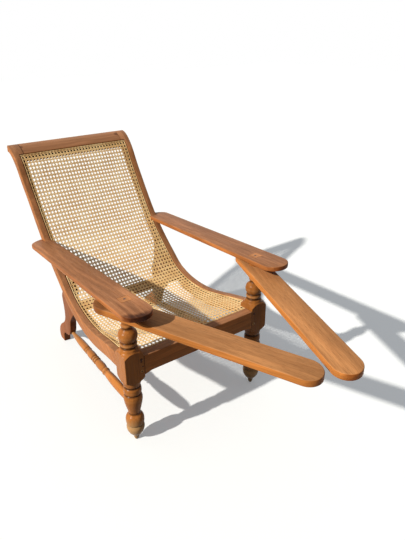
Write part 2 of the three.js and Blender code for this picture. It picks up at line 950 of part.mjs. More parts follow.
// The binder along one side, laid over the cane in the side rail's rebate, close beside the raised strip
function sideBinder(side) {
  const top = rebateDepth - caneLift - caneThickness - clearance - binderThickness;
  const inset = railFaceWidth + binderGap;
  const section = [
    new THREE.Vector2(inset, top),
    new THREE.Vector2(inset + binderWidth, top),
    new THREE.Vector2(inset + binderWidth, top + binderThickness),
    new THREE.Vector2(inset, top + binderThickness),
  ];
  const end = crestBinderStart - clearance / sweepLength;
  return sweepStrip(side, 0, end, () => section).subtract(blockSpace(side));
}

function crestBinder() {
  const top = rebateDepth - caneLift - caneThickness - clearance - binderThickness;
  const end = crestBinderStart + binderWidth / sweepLength;
  const outline = [
    sweepPoint(crestBinderStart, top),
    sweepPoint(end, top),
    sweepPoint(end, top + binderThickness),
    sweepPoint(crestBinderStart, top + binderThickness),
  ];
  return spanSolid(outline, railFaceWidth + binderGap);
}

function frontBinder() {
  const bottom = frontRailTop - rebateDepth + caneLift + caneThickness + 2 * clearance;
  const from = frontRailFace - frontRailFront + (frontRailRebate - binderWidth) / 2;
  return blockBetween(
    new THREE.Vector3(-blockInner + clearance, from, bottom),
    new THREE.Vector3(blockInner - clearance, from + binderWidth, bottom + binderThickness),
  );
}

const teak = { color: 0xa8683a, roughness: 0.5, metalness: 0 };
const redTeak = { color: 0x8f5232, roughness: 0.5, metalness: 0 };
const goldTeak = { color: 0xb87a46, roughness: 0.5, metalness: 0 };
const cane = { color: 0xd9b682, roughness: 0.65, metalness: 0 };
const steel = { color: 0x6f6a63, roughness: 0.45, metalness: 0.9 };

const group = new THREE.Group();

function place(name, solid, finish, parent = group) {
  const mesh = new THREE.Mesh(geometryOf(solid), new THREE.MeshStandardMaterial(finish));
  mesh.name = name;
  parent.add(mesh);
  return mesh;
}

const sides = [
  ["left", 1, -leftRestTurn],
  ["right", -1, rightRestTurn],
];
for (const [label, side, turn] of sides) {
  place(`side_rail_${label}`, sideRail(side), teak);
  place(`front_post_${label}`, frontPost(side), goldTeak);
  place(`rear_leg_${label}`, rearLeg(side), teak);
  place(`side_stretcher_${label}`, sideStretcher(side), goldTeak);
  place(`arm_${label}`, arm(side), redTeak);
  place(`tenon_nail_${label}`, tenonNail(side, 0), steel);
  place(`rail_peg_lower_${label}`, peg(side, 0, 0), teak);
  place(`rail_peg_upper_${label}`, peg(side, 1, 0), teak);
  place(`leg_screw_lower_${label}`, legScrew(side, 0, 0), steel);
  place(`leg_screw_upper_${label}`, legScrew(side, 1, 0), steel);
  place(`cane_binder_${label}`, sideBinder(side), cane);
  const pivot = new THREE.Group();
  pivot.position.set(side * postSpread, 0, 0);
  pivot.rotation.z = turn;
  group.add(pivot);
  place(`leg_rest_${label}`, legRest(), goldTeak, pivot);
}
place("crest_rail", crestRail(), teak);
place("front_rail", frontRail(), teak);
place("rear_cross_rail", rearCrossRail(), teak);
place("cane_panel", canePanel(), cane);
place("cane_binder_crest", crestBinder(), cane);
place("cane_binder_front", frontBinder(), cane);

// The origin is under the middle of the whole chair, on the floor
const bounds = new THREE.Box3().setFromObject(group, true);
const middle = bounds.getCenter(new THREE.Vector3());
group.position.set(-middle.x, -middle.y, -bounds.min.z);

export default group;
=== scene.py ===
"""A planters chair in oiled teak, its seat and back one caned sweep.

Lengths in this file are millimetres in the chair's own design frame: x = 0 is the middle, y = 0 the axis of the front
posts, z = 0 the floor, and the chair faces -y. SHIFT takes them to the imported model's frame.
"""

import math

import bmesh
import bpy
import numpy as np
from mathutils import Matrix, Vector


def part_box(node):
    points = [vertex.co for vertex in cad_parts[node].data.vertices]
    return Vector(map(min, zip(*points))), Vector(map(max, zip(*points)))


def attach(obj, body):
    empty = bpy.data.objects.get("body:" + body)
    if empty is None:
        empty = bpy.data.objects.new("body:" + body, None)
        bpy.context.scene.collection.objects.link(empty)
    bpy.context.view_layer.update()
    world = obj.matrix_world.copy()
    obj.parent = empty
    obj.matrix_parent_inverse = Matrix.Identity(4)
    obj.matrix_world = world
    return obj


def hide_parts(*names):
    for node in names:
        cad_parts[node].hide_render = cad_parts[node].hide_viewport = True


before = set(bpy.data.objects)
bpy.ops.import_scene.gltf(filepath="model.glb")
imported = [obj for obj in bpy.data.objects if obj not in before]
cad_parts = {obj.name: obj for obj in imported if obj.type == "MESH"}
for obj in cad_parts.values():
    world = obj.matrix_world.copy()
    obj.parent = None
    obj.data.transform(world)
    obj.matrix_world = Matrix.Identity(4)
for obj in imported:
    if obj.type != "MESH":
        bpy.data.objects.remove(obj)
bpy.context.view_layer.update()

MM = 0.001
POST_X = 294.0
nail_low, nail_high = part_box("tenon_nail_right")
SHIFT = np.array([(nail_low.x + nail_high.x) / 2 / MM + POST_X, (nail_low.y + nail_high.y) / 2 / MM, 0.0])
SIDES = {1: "left", -1: "right"}

# Posts, their blocks and what stands on them
GAP = 0.3
BLOCK_WIDTH = 78.0
BLOCK_DEPTH = 74.0
TURNING = 36.0
FOOT_HEIGHT = 290.0
BLOCK_HEIGHT = 135.0
SHOULDER = 18.0
PIVOT_RADIUS = 24.4
TENON_END = 41.0
COLLAR = 28.0
NAIL_RADIUS = 4.3
PEG_INSET = 12.0
PEG_SPACING = 50.0
PEG_LENGTH = 30.0

# Rails
SWEEP_RUN = 1067.0
SWEEP_RISE = 621.0
SWEEP_LOW = 338.0
RAIL_START = BLOCK_DEPTH / 2 + GAP
RAIL_THICK = 48.0
RAIL_FACE = 26.0
SPAN_INSET = RAIL_THICK + 0.5
SEAT_DEPTH = 62.0
CREST_DEPTH = 30.0
REBATE = 6.0
WAIST = 296.0
SPREAD = 34.0
WAIST_RUN = 712.0
CREST_FACE = 83.0
CREST_REBATE = 26.0
FRONT_TOP = 399.0
FRONT_HEIGHT = 75.0
FRONT_FACE = 38.0
FRONT_REBATE = 13.0
BRACKET_DROP = 7.0
BRACKET_LENGTH = 34.0
CROSS_WIDTH = 44.0
CROSS_DEPTH = 26.0
CROSS_PLACE = 489.0

# Arms and leg rests
ARM_TOP = 630.7
ARM_THICK = 19.0
ARM_FRONT = 152.0
ARM_REAR = 826.0
ARM_INNER = 247.0
ARM_OUTER = 359.0
ARM_TAPER = 13.0
ARM_FALL = 68.0
ARM_SLOPE = ARM_FALL / (ARM_FRONT + ARM_REAR)
ARM_BUTT = 800.0
ARM_EDGE = 3.0
HORN = 58.0
REST_GAP = 17.5
REST_THICK = 25.6
REST_REACH = 693.0
REST_STUB = 124.0
REST_STUB_WIDTH = 98.0
REST_TIP_WIDTH = 106.0
REST_EDGE = 3.4
REST_FALL = 45.0
REST_SLOPE = REST_FALL / REST_REACH
TIP_RUN = 640.0
TIP_INWARD = {1: 173.2, -1: 296.5}
REST_TURN = {side: -side * math.asin(inward / TIP_RUN) for side, inward in TIP_INWARD.items()}

# Rear legs and stretchers
LEG_PLANE = 266.0
LEG_THICK = 32.0
LEG_TOE = 600.0
LEG_HEEL = 867.0
LEG_HEIGHT = 520.4
LEG_EDGE = 2.4
STRETCHER = 18.5
STRETCHER_REAR_X = 250
STRETCHER_LEG_SHARE = 0.405
STRETCHER_LOW = 97
STRETCHER_FRONT_Y = 34.5
STRETCHER_HIGH = 172
REAR_PIN = (8.9, -14)
FRONT_PIN = (9.0, 10)
STRETCHER_FACETS = 40

# Outlines, as shares of the sizes above
SWEEP = [
    (0, 0.1), (0.058, 0.08), (0.125, 0.055), (0.19, 0.028), (0.25, 0.008), (0.32, 0), (0.38, 0.007),
    (0.434, 0.027), (0.489, 0.066), (0.546, 0.145), (0.62, 0.255), (0.69, 0.377), (0.753, 0.514),
    (0.812, 0.658), (0.853, 0.76), (0.904, 0.898), (0.949, 0.972), (0.978, 0.994), (1, 1),
]
DEPTHS = [(0, 1), (0.25, 1), (0.36, 0.72), (0.48, 0.55), (0.6, 0.4), (0.75, 0.1), (0.9, 0.12), (1, 0)]
FOOT = [
    (0.19, 0), (0.27, 0.028), (0.36, 0.075), (0.44, 0.092), (0.66, 0.12), (0.86, 0.163), (0.96, 0.205),
    (0.985, 0.236), (0.94, 0.264), (0.86, 0.28), (0.96, 0.3), (1, 0.355), (0.97, 0.392), (0.85, 0.425),
    (0.67, 0.448), (0.63, 0.468), (0.685, 0.506), (0.81, 0.57), (0.93, 0.638), (1, 0.7), (0.985, 0.742),
    (0.9, 0.774), (0.79, 0.79), (0.92, 0.806), (0.95, 0.845), (0.92, 0.884), (0.79, 0.906), (0.9, 0.935),
    (1, 1),
]
HEAD = [
    (1, 0), (0.95, 0.03), (0.9, 0.068), (0.73, 0.108), (0.82, 0.138), (0.88, 0.186), (0.85, 0.235),
    (0.74, 0.266), (0.82, 0.286), (0.94, 0.35), (0.985, 0.436), (0.9, 0.53), (0.66, 0.6), (0.51, 0.648),
    (0.51, 0.68), (0.6, 0.707), (0.6, 0.749), (0.53, 0.784),
]
STRETCHER_SHARES = [
    (0.48, 0), (0.48, 0.02), (0.64, 0.07), (0.84, 0.16), (0.9, 0.24), (0.86, 0.305), (0.76, 0.312),
    (0.92, 0.32), (0.8, 0.332), (0.95, 0.38), (0.86, 0.44), (0.76, 0.448), (0.94, 0.462), (0.78, 0.475),
    (0.94, 0.488), (0.76, 0.502), (0.86, 0.51), (0.97, 0.57), (0.82, 0.632), (0.95, 0.643), (0.8, 0.654),
    (0.9, 0.7), (1, 0.79), (0.95, 0.89), (0.8, 0.97), (0.55, 1),
]
LEG = [
    (0.8, 0), (0.965, 0), (0.997, 0.028), (1, 0.062), (0.975, 0.108), (0.92, 0.152), (0.822, 0.2),
    (0.71, 0.24), (0.625, 0.283), (0.572, 0.327), (0.547, 0.385), (0.543, 0.46), (0.556, 0.54),
    (0.556, 0.575), (0.49, 0.64), (0.44, 0.74), (0.42, 0.84), (0.4, 0.92), (0.3, 0.87), (0.04, 0.75), (0, 0.66),
    (0, 0.57), (0.13, 0.46), (0.26, 0.385), (0.322, 0.335), (0.35, 0.28), (0.39, 0.22), (0.44, 0.175),
    (0.5, 0.148), (0.6, 0.133), (0.72, 0.118), (0.77, 0.09),
]

# Levels that follow from them
ARM_UNDER = ARM_TOP - ARM_THICK
REST_TOP = ARM_UNDER - REST_GAP
COLLAR_TOP = REST_TOP - REST_THICK - REST_SLOPE * COLLAR - GAP
HEAD_BOTTOM = FOOT_HEIGHT + BLOCK_HEIGHT
BLOCK_INNER = POST_X - BLOCK_WIDTH / 2


def between(t, low, high, a, b):
    """The point at t on the line that passes a at low and b at high."""
    return (high - t) / (high - low) * a + (t - low) / (high - low) * b


def catmull(points, per_segment):
    """Points on a centripetal Catmull-Rom curve through the given ones."""
    pts = np.array(points, float)
    pts = [2 * pts[0] - pts[1], *pts, 2 * pts[-1] - pts[-2]]
    found = []
    for p in zip(pts, pts[1:], pts[2:], pts[3:]):
        k = np.cumsum([0.0, *(max(np.linalg.norm(b - a) ** 0.5, 1e-6) for a, b in zip(p, p[1:]))])
        for t in np.linspace(k[1], k[2], per_segment, endpoint=False):
            a = [between(t, k[i], k[i + 1], p[i], p[i + 1]) for i in range(3)]
            b = [between(t, k[i], k[i + 2], a[i], a[i + 1]) for i in range(2)]
            found.append(between(t, k[1], k[2], *b))
    found.append(pts[-2])
    return np.array(found)


# The side rails' front face as seen from the side, as points with their length along it
sweep_line = catmull([(RAIL_START + a * SWEEP_RUN, SWEEP_LOW + b * SWEEP_RISE) for a, b in SWEEP], 120)
sweep_steps = np.linalg.norm(np.diff(sweep_line, axis=0), axis=1)
sweep_place = np.concatenate([[0.0], np.cumsum(sweep_steps)])
SWEEP_LENGTH = float(sweep_place[-1])
CREST_FACE_START = SWEEP_LENGTH - CREST_FACE
CREST_START = CREST_FACE_START - CREST_REBATE


def sweep_at(s, drop=0.0):
    """Points (y, z) at lengths s along the sweep, a drop behind its front face."""
    s = np.asarray(s, float)
    inside = np.clip(s, 0, SWEEP_LENGTH)
    step = 2.0
    low = np.clip(inside - step, 0, SWEEP_LENGTH)
    high = np.clip(inside + step, 0, SWEEP_LENGTH)
    (y, z), (low_y, low_z), (high_y, high_z) = (
        [np.interp(place, sweep_place, sweep_line[:, k]) for k in (0, 1)] for place in (inside, low, high)
    )
    size = np.hypot(high_y - low_y, high_z - low_z)
    ty, tz = (high_y - low_y) / size, (high_z - low_z) / size
    over = s - inside
    return y + ty * over + tz * drop, z + tz * over - ty * drop


def half_width(y):
    """Half the chair's width over the side rails, which draw in to a waist."""
    from_waist = (np.asarray(y, float) - RAIL_START - WAIST_RUN) / WAIST_RUN
    return WAIST + SPREAD * from_waist**2


def rail_depth(s):
    """How deep a side rail is behind its front face at length s."""
    share = np.interp(s / SWEEP_LENGTH, *zip(*DEPTHS))
    return CREST_DEPTH + share * (SEAT_DEPTH - CREST_DEPTH)


def smooth_depth(s):
    """The rail's depth with its corners evened out."""
    reach = 45.0
    return float(np.mean([rail_depth(min(max(s + d, 0), SWEEP_LENGTH)) for d in np.linspace(-reach, reach, 9)]))


def bend(start, corner, end, count):
    """Points on a curve from start to end that is drawn towards the corner."""
    return [(1 - t) ** 2 * start + 2 * t * (1 - t) * corner + t**2 * end for t in np.linspace(0, 1, count)]


def rounded(corners, fine=4):
    """A closed outline from (u, v, radius) corners, each corner turned into a short arc."""
    found = []
    count = len(corners)
    for i, (u, v, radius) in enumerate(corners):
        here = np.array([u, v], float)
        if radius <= 0:
            found.append(here)
            continue
        before = np.array(corners[i - 1][:2], float)
        after = np.array(corners[(i + 1) % count][:2], float)
        a = here + (before - here) / np.linalg.norm(before - here) * radius
        b = here + (after - here) / np.linalg.norm(after - here) * radius
        found.extend(bend(a, here, b, fine + 1))
    return np.array(found)


def loft_faces(rings, size, start=0):
    """Side faces between rings of the same size, and an end face on the first and the last."""
    faces = []
    for r in range(rings - 1):
        for k in range(size):
            a = start + r * size + k
            b = start + r * size + (k + 1) % size
            faces.append((a, b, b + size, a + size))
    faces.append(tuple(start + k for k in reversed(range(size))))
    faces.append(tuple(start + (rings - 1) * size + k for k in range(size)))
    return faces


def new_mesh(name, points, faces, weld=True):
    """A mesh from points in the design frame, with its faces turned outwards."""
    mesh = bpy.data.meshes.new(name)
    mesh.from_pydata([tuple(p) for p in (np.asarray(points, float) + SHIFT) * MM], [], faces)
    shell = bmesh.new()
    shell.from_mesh(mesh)
    if weld:
        bmesh.ops.remove_doubles(shell, verts=shell.verts, dist=1e-6)
    bmesh.ops.recalc_face_normals(shell, faces=shell.faces)
    shell.to_mesh(mesh)
    shell.free()
    return mesh


def add_object(name, data):
    """A new object in the scene."""
    obj = bpy.data.objects.new(name, data)
    bpy.context.scene.collection.objects.link(obj)
    return obj


def piece(name, mesh, material, replaces=(), body="frame", angle=32.0):
    """A visual piece of the chair. Edges sharper than the angle stay sharp."""
    obj = add_object(name, mesh)
    mesh.materials.clear()
    mesh.materials.append(material)
    mesh.shade_smooth()
    mesh.set_sharp_from_angle(angle=math.radians(angle))
    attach(obj, body)
    if replaces:
        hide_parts(*replaces)
    return obj


REBATE_SLACK = 0.5
SMALLEST_FACE = 1e-7


def paint_rebate_shade(obj):
    """Painted shade on the wood under the edge of the cane: the rebate's faces get a near-black teak."""
    mesh = obj.data
    mesh.materials.append(rebate_shade_wood)
    for face in mesh.polygons:
        x, y, z = np.array(face.center) / MM - SHIFT
        behind = np.hypot(sweep_line[:, 0] - y, sweep_line[:, 1] - z).min()
        inset = float(half_width(y)) - abs(x)
        in_rebate = abs(behind - REBATE) < REBATE_SLACK and inset > RAIL_FACE + GAP
        if in_rebate and face.area > SMALLEST_FACE:
            face.material_index = 1


def cut(mesh, tool, operation):
    """What is left of a mesh when another one is taken from it or crossed with it."""
    first, second = add_object("cut_first", mesh), add_object("cut_second", tool)
    change = first.modifiers.new("change", "BOOLEAN")
    change.object = second
    change.operation = operation
    change.solver = "EXACT"
    bpy.context.view_layer.update()
    result = bpy.data.meshes.new_from_object(first.evaluated_get(bpy.context.evaluated_depsgraph_get()))
    for obj in (first, second):
        bpy.data.objects.remove(obj)
    return result


EDGE_STEPS = 5


def board_mesh(name, outline, thickness, edge, put):
    """A board from a closed outline (u, v), with round edges.

    put turns (u, v, w) into the design frame, where w goes from 0 at the board's top down to its thickness.
    """
    outline = np.asarray(outline, float)
    area = np.sum(outline[:, 0] * np.roll(outline[:, 1], -1) - np.roll(outline[:, 0], -1) * outline[:, 1])
    if area < 0:
        outline = outline[::-1]
    before = outline - np.roll(outline, 1, axis=0)
    after = np.roll(outline, -1, axis=0) - outline
    before /= np.linalg.norm(before, axis=1)[:, None]
    after /= np.linalg.norm(after, axis=1)[:, None]
    along = before + after
    along /= np.linalg.norm(along, axis=1)[:, None]
    inward = np.stack([-along[:, 1], along[:, 0]], axis=1)
    miter = 1 / np.clip(np.sum(along * before, axis=1), 0.5, 1)
    levels = []
    for t in np.linspace(0, math.pi / 2, EDGE_STEPS):
        levels.append((edge * (1 - math.sin(t)), -thickness + edge * (1 - math.cos(t))))
    for t in np.linspace(math.pi / 2, 0, EDGE_STEPS):
        levels.append((edge * (1 - math.sin(t)), -edge * (1 - math.cos(t))))
    points = []
    for inset, w in levels:
        ring = outline + inward * (inset * miter)[:, None]
        points.extend(put(u, v, w) for u, v in ring)
    return new_mesh(name, points, loft_faces(len(levels), len(outline)))


def box_mesh(name, low, high, edge=0.0):
    """A bar from its lowest to its highest corner, with its upright edges rounded."""
    corners = [(low[0], low[1], edge), (high[0], low[1], edge), (high[0], high[1], edge), (low[0], high[1], edge)]
    ring = rounded(corners, 3)
    points = [(u, v, w) for w in (low[2], high[2]) for u, v in ring]
    return new_mesh(name, points, loft_faces(2, len(ring)))


def turned_mesh(name, profile, place, direction, sides=56):
    """A turned solid from (radius, height) points, its axis from place along direction."""
    axis = Vector(direction).normalized()
    turn = Vector((0, 0, 1)).rotation_difference(axis).to_matrix()
    points = []
    for radius, height in profile:
        for k in range(sides):
            a = 2 * math.pi * k / sides
            spoke = Vector((radius * math.cos(a), radius * math.sin(a), height))
            points.append(tuple(Vector(place) + turn @ spoke))
    return new_mesh(name, points, loft_faces(len(profile), sides))


def mark(mesh, name, values):
    """Keeps a value for each point of the mesh, which its material reads."""
    mesh.attributes.new(name, "FLOAT", "POINT").data.foreach_set("value", np.asarray(values, np.float32))


# Materials


def linear(colour):
    """A colour as a picture shows it, from 0 to 255, as the shader takes it."""
    shares = [c / 255 for c in colour]
    return (*(c / 12.92 if c <= 0.04045 else ((c + 0.055) / 1.055) ** 2.4 for c in shares), 1.0)


class Nodes:
    """Adds shader nodes and joins them in one line each."""

    def __init__(self, material):
        self.tree = material.node_tree
        self.tree.nodes.clear()

    def add(self, kind, inputs=None, **settings):
        """A node of this kind, each input a plain value or another node's output."""
        node = self.tree.nodes.new(kind)
        for key, value in settings.items():
            setattr(node, key, value)
        for key, value in (inputs or {}).items():
            socket = node.inputs[key]
            if isinstance(value, bpy.types.NodeSocket):
                self.tree.links.new(value, socket)
            else:
                socket.default_value = value
        return node

    def ramp(self, value, stops):
        """The colour at this value between (place, colour) stops."""
        node = self.add("ShaderNodeValToRGB", {"Fac": value})
        stages = node.color_ramp.elements
        stages[0].position, stages[0].color = stops[0]
        stages[1].position, stages[1].color = stops[-1]
        for place, colour in stops[1:-1]:
            stages.new(place).color = colour
        return node.outputs["Color"]

    def mix(self, kind, share, a, b):
        """Two colours blended or multiplied. The mix node's colours are its inputs 6 and 7 and its output 2."""
        return self.add("ShaderNodeMix", {0: share, 6: a, 7: b}, data_type="RGBA", blend_type=kind).outputs[2]

    def reckon(self, operation, *terms):
        """Arithmetic on outputs and numbers."""
        return self.add("ShaderNodeMath", dict(enumerate(terms)), operation=operation).outputs[0]

    def rescale(self, value, low, high, new_low=0.0, new_high=1.0):
        """The value taken from low and high to the new ones."""
        limits = {"From Min": low, "From Max": high, "To Min": new_low, "To Max": new_high}
        return self.add("ShaderNodeMapRange", {"Value": value, **limits}).outputs["Result"]

    def noise(self, vector, scale, detail, decay=0.5, distortion=0.0):
        settings = {"Scale": scale, "Detail": detail, "Roughness": decay, "Distortion": distortion}
        return self.add("ShaderNodeTexNoise", {"Vector": vector, **settings}).outputs["Fac"]

    def bump(self, height, strength, distance):
        settings = {"Height": height, "Strength": strength, "Distance": distance}
        return self.add("ShaderNodeBump", settings).outputs["Normal"]

    def surface(self, settings):
        """The shader that the surface gets."""
        shader = self.add("ShaderNodeBsdfPrincipled", settings)
        self.add("ShaderNodeOutputMaterial", {"Surface": shader.outputs[0]})


def new_material(name):
    """An empty material and what adds its nodes."""
    material = bpy.data.materials.new(name)
    material.use_nodes = True
    return material, Nodes(material)


def grey(value):
    """A grey for the shader, where 1 is white."""
    return (value, value, value, 1.0)


# How often the wood's patterns change along the fibres and across them
FIGURE = (0.9, 16.0, 16.0)
STREAKS = (2.2, 95.0, 95.0)
PORES = (14.0, 620.0, 620.0)
PATCHES = (1.5, 5.0, 5.0)
SEED_STEPS = (1.37, 0.71, 0.43)
RINGS = 9.0

# Shades that multiply the wood's colour
# Darker at the joints of spanning pieces, and painted shade in the grooves of turned wood
DIRT_AND_GROOVE_SHADE = [(0.0, grey(1.0)), (0.25, grey(0.6)), (0.8, grey(0.2))]
END_SHADE = (0.56, 0.46, 0.4, 1.0)
SIDE_SHADE = (1.15, 0.93, 0.58, 1.0)
# The colour of the darker patches: stains, and painted shade and shadow
STAIN_AND_SHADE = (0.36, 0.28, 0.24, 1.0)

# Colours that show through it
# Lighter colour on the crowns of turned wood: wear and a painted highlight
WORN_AND_HIGHLIGHT = linear((232, 186, 134))
WORN_FOOT = linear((196, 160, 112))
KNOT = linear((58, 30, 16))


def wood(name, light, dark, grain, seed, knots=(), rough=0.46, contrast=1.3, shine=0.1, turned=False, stains_and_shade=()):
    """Oiled teak.

    grain is the direction the fibres run, in the design frame. knots are (x, y, z, radius), and the darker patches,
    stains and painted shade, are (x, y, z, radius, strength). Turned wood gets painted shade in its grooves and a
    lighter colour of wear and painted highlight on its crowns, as marked on the mesh, and sawn wood is darker on its
    end grain and redder on its sides.
    """
    material, n = new_material(name)
    turn = Vector(grain).normalized().rotation_difference(Vector((1, 0, 0))).to_euler()
    texture = n.add("ShaderNodeTexCoord")
    coords, normal = texture.outputs["Object"], texture.outputs["Normal"]
    place = tuple(seed * step for step in SEED_STEPS)
    base = n.add("ShaderNodeMapping", {"Vector": coords, "Location": place, "Rotation": tuple(turn)}).outputs["Vector"]

    def stretched(scales):
        return n.add("ShaderNodeMapping", {"Vector": base, "Scale": scales}).outputs["Vector"]

    figure = n.noise(stretched(FIGURE), 1.6, 3.0, distortion=0.8)
    rings = n.rescale(n.reckon("SINE", n.reckon("MULTIPLY", figure, RINGS)), -1.0, 1.0)
    streaks = n.noise(stretched(STREAKS), 1.0, 5.0, 0.62)
    pores = n.noise(stretched(PORES), 1.0, 3.0)
    patches = n.noise(stretched(PATCHES), 1.3, 2.0, 0.55)
    colour = n.mix("MIX", streaks, dark, light)
    ring_shades = n.ramp(rings, [(0.0, grey(0.62)), (0.45, grey(0.95)), (1.0, grey(1.12))])
    colour = n.mix("MULTIPLY", 0.5 * contrast, colour, ring_shades)
    patch_shades = n.ramp(patches, [(0.3, grey(0.72)), (0.7, grey(1.18))])
    colour = n.mix("MULTIPLY", 0.7 * contrast, colour, patch_shades)
    pore_shades = n.ramp(pores, [(0.34, grey(0.45)), (0.46, grey(1.0))])
    colour = n.mix("MULTIPLY", 0.55, colour, pore_shades)
    if not turned:
        fibres = tuple(Vector(grain).normalized())
        along = n.add("ShaderNodeVectorMath", {0: normal, 1: fibres}, operation="DOT_PRODUCT").outputs["Value"]
        ends = n.ramp(n.reckon("ABSOLUTE", along), [(0.6, grey(1.0)), (0.95, END_SHADE)])
        colour = n.mix("MULTIPLY", 1.0, colour, ends)
        facing = n.add("ShaderNodeSeparateXYZ", {0: normal}).outputs["Z"]
        colour = n.mix("MULTIPLY", 1.0, colour, n.ramp(facing, [(0.25, SIDE_SHADE), (0.8, grey(1.0))]))
    # Dark lines at the joints, and painted shade in the grooves of turned wood
    groove = n.add("ShaderNodeAttribute", attribute_name="groove").outputs["Fac"]
    colour = n.mix("MULTIPLY", 1.0, colour, n.ramp(groove, DIRT_AND_GROOVE_SHADE))
    if turned:
        # Crowns made lighter: wear and a painted highlight
        crown = n.add("ShaderNodeAttribute", attribute_name="crown").outputs["Fac"]
        colour = n.mix("MIX", n.reckon("MULTIPLY", crown, streaks), colour, WORN_AND_HIGHLIGHT)
        level = n.add("ShaderNodeSeparateXYZ", {0: coords}).outputs["Z"]
        worn = n.ramp(n.reckon("MULTIPLY_ADD", streaks, 0.05, level), [(0.09, grey(0.7)), (0.15, grey(0.0))])
        colour = n.mix("MIX", worn, colour, WORN_FOOT)

    def distance(*place):
        at = tuple((np.array(place) + SHIFT) * MM)
        return n.add("ShaderNodeVectorMath", {0: coords, 1: at}, operation="DISTANCE").outputs["Value"]

    # Darker patches: stains, and on the near arm also painted shade and a painted shadow
    for x, y, z, radius, strength in stains_and_shade:
        ragged = n.reckon("MULTIPLY_ADD", streaks, radius * MM, distance(x, y, z))
        outside = n.rescale(ragged, radius * 1.1 * MM, radius * 1.7 * MM)
        colour = n.mix("MULTIPLY", strength, colour, n.ramp(outside, [(0.0, STAIN_AND_SHADE), (1.0, grey(1.0))]))
    for x, y, z, radius in knots:
        outside = n.rescale(distance(x, y, z), radius * 0.45 * MM, radius * 1.25 * MM)
        colour = n.mix("MIX", outside, KNOT, colour)
    bump = n.bump(n.reckon("ADD", streaks, pores), 0.22, 0.0006)
    gloss = n.rescale(streaks, 0.0, 1.0, rough + 0.1, rough - 0.06)
    n.surface({"Base Color": colour, "Roughness": gloss, "Normal": bump, "Specular IOR Level": shine})
    return material


def cane_material(name, light, dark, rough=0.34):
    """Split cane, paler and darker from place to place, with fine fibres."""
    material, n = new_material(name)
    coords = n.add("ShaderNodeTexCoord").outputs["Object"]
    fine = n.noise(coords, 260.0, 3.0)
    broad = n.noise(coords, 14.0, 3.0)
    share = n.ramp(broad, [(0.36, grey(0)), (0.66, grey(1))])
    colour = n.mix("MIX", share, dark, light)
    fibres = n.ramp(fine, [(0.3, grey(0.66)), (0.62, grey(1.08))])
    colour = n.mix("MULTIPLY", 0.5, colour, fibres)
    bump = n.bump(fine, 0.2, 0.0003)
    n.surface({"Base Color": colour, "Roughness": rough, "Normal": bump, "Specular IOR Level": 0.12})
    return material


def steel_material(light, dark):
    """Steel that has gone dull and dark in spots."""
    material, n = new_material("aged_steel")
    coords = n.add("ShaderNodeTexCoord").outputs["Object"]
    colour = n.mix("MIX", n.noise(coords, 900.0, 4.0), dark, light)
    n.surface({"Base Color": colour, "Metallic": 0.85, "Roughness": 0.48})
    return material


# Woods and cane, each as its light and its dark colour
TEAK = linear((208, 150, 106)), linear((150, 98, 66))
GOLD = linear((229, 164, 106)), linear((172, 112, 66))
TURNED = linear((212, 136, 66)), linear((150, 88, 40))
SPINDLE = linear((222, 146, 74)), linear((170, 100, 46))
LEG_TEAK = linear((170, 110, 70)), linear((118, 72, 44))
RED_TEAK = linear((206, 145, 100)), linear((142, 88, 56))
END_GRAIN = linear((232, 160, 104)), linear((200, 132, 82))
# Near-black teak for the rebate under the cane's edge, a painted shade
UNDER_CANE_SHADE = linear((74, 44, 26)), linear((40, 22, 12))
PEGS = {
    "lower": (linear((252, 226, 186)), linear((230, 196, 150))),
    "upper": (linear((128, 84, 54)), linear((88, 54, 34))),
}
STRAND_CANE = linear((248, 214, 156)), linear((234, 192, 130))
BINDER_CANE = linear((246, 214, 158)), linear((214, 172, 116))
STEEL = linear((92, 92, 98)), linear((30, 28, 28))

steel = steel_material(*STEEL)
cane_colour = cane_material("cane_strand", *STRAND_CANE)
binder_colour = cane_material("cane_binding", *BINDER_CANE, 0.38)
# The painted shade in the rebates under the cane
rebate_shade_wood = wood("teak_under_cane_shade", *UNDER_CANE_SHADE, (0, 1, 0), 4.4)
end_grain = wood("teak_end_grain", *END_GRAIN, (0, 1, 0), 9.3)

# Side rails

RAIL_RINGS = 200
CREST_RINGS = 20
NO_REBATE = 0.02
RAIL_END = 2.6
END_SHRINK = 0.09


def rail_section(s, rebate=REBATE):
    """The rail's outline at length s, as (inset from its outer face, depth behind its front face)."""
    depth = smooth_depth(s)
    return rounded(
        [
            (0, 0, 3.2),
            (RAIL_FACE, 0, min(1.4, rebate / 2)),
            (RAIL_FACE, rebate, min(0.6, rebate / 2)),
            (RAIL_THICK, rebate, 2.0),
            (RAIL_THICK, depth, 3.0),
            (0, depth, 3.4),
        ]
    )


def side_rail(side):
    """A rail swept along the seat and back, without a rebate where it meets the crest rail."""
    points = []
    crest_lengths = np.linspace(CREST_FACE_START + 0.05, SWEEP_LENGTH - RAIL_END, CREST_RINGS)
    rings = [(s, REBATE, 0.0) for s in np.linspace(0, CREST_FACE_START, RAIL_RINGS)]
    rings += [(s, NO_REBATE, 0.0) for s in crest_lengths]
    rings.append((SWEEP_LENGTH, NO_REBATE, END_SHRINK))
    for s, rebate, shrink in rings:
        section = rail_section(s, rebate)
        section = section + (section.mean(axis=0) - section) * shrink
        y, z = sweep_at(s, section[:, 1])
        points.extend(zip(side * (half_width(y) - section[:, 0]), y, z))
    mesh = new_mesh("rail", points, loft_faces(len(rings), len(section)))
    label = SIDES[side]
    skin = wood(f"teak_rail_{label}", *TEAK, (0, 1, 0.45), 2.1 + side)
    paint_rebate_shade(piece(f"side_rail_{label}_sawn", mesh, skin, [f"side_rail_{label}"]))


# Crest, front and rear cross rails


JOINT_DIRT = 0.7
JOINT_EDGE = (0, 2.5, 5)
INNER_RING = 60


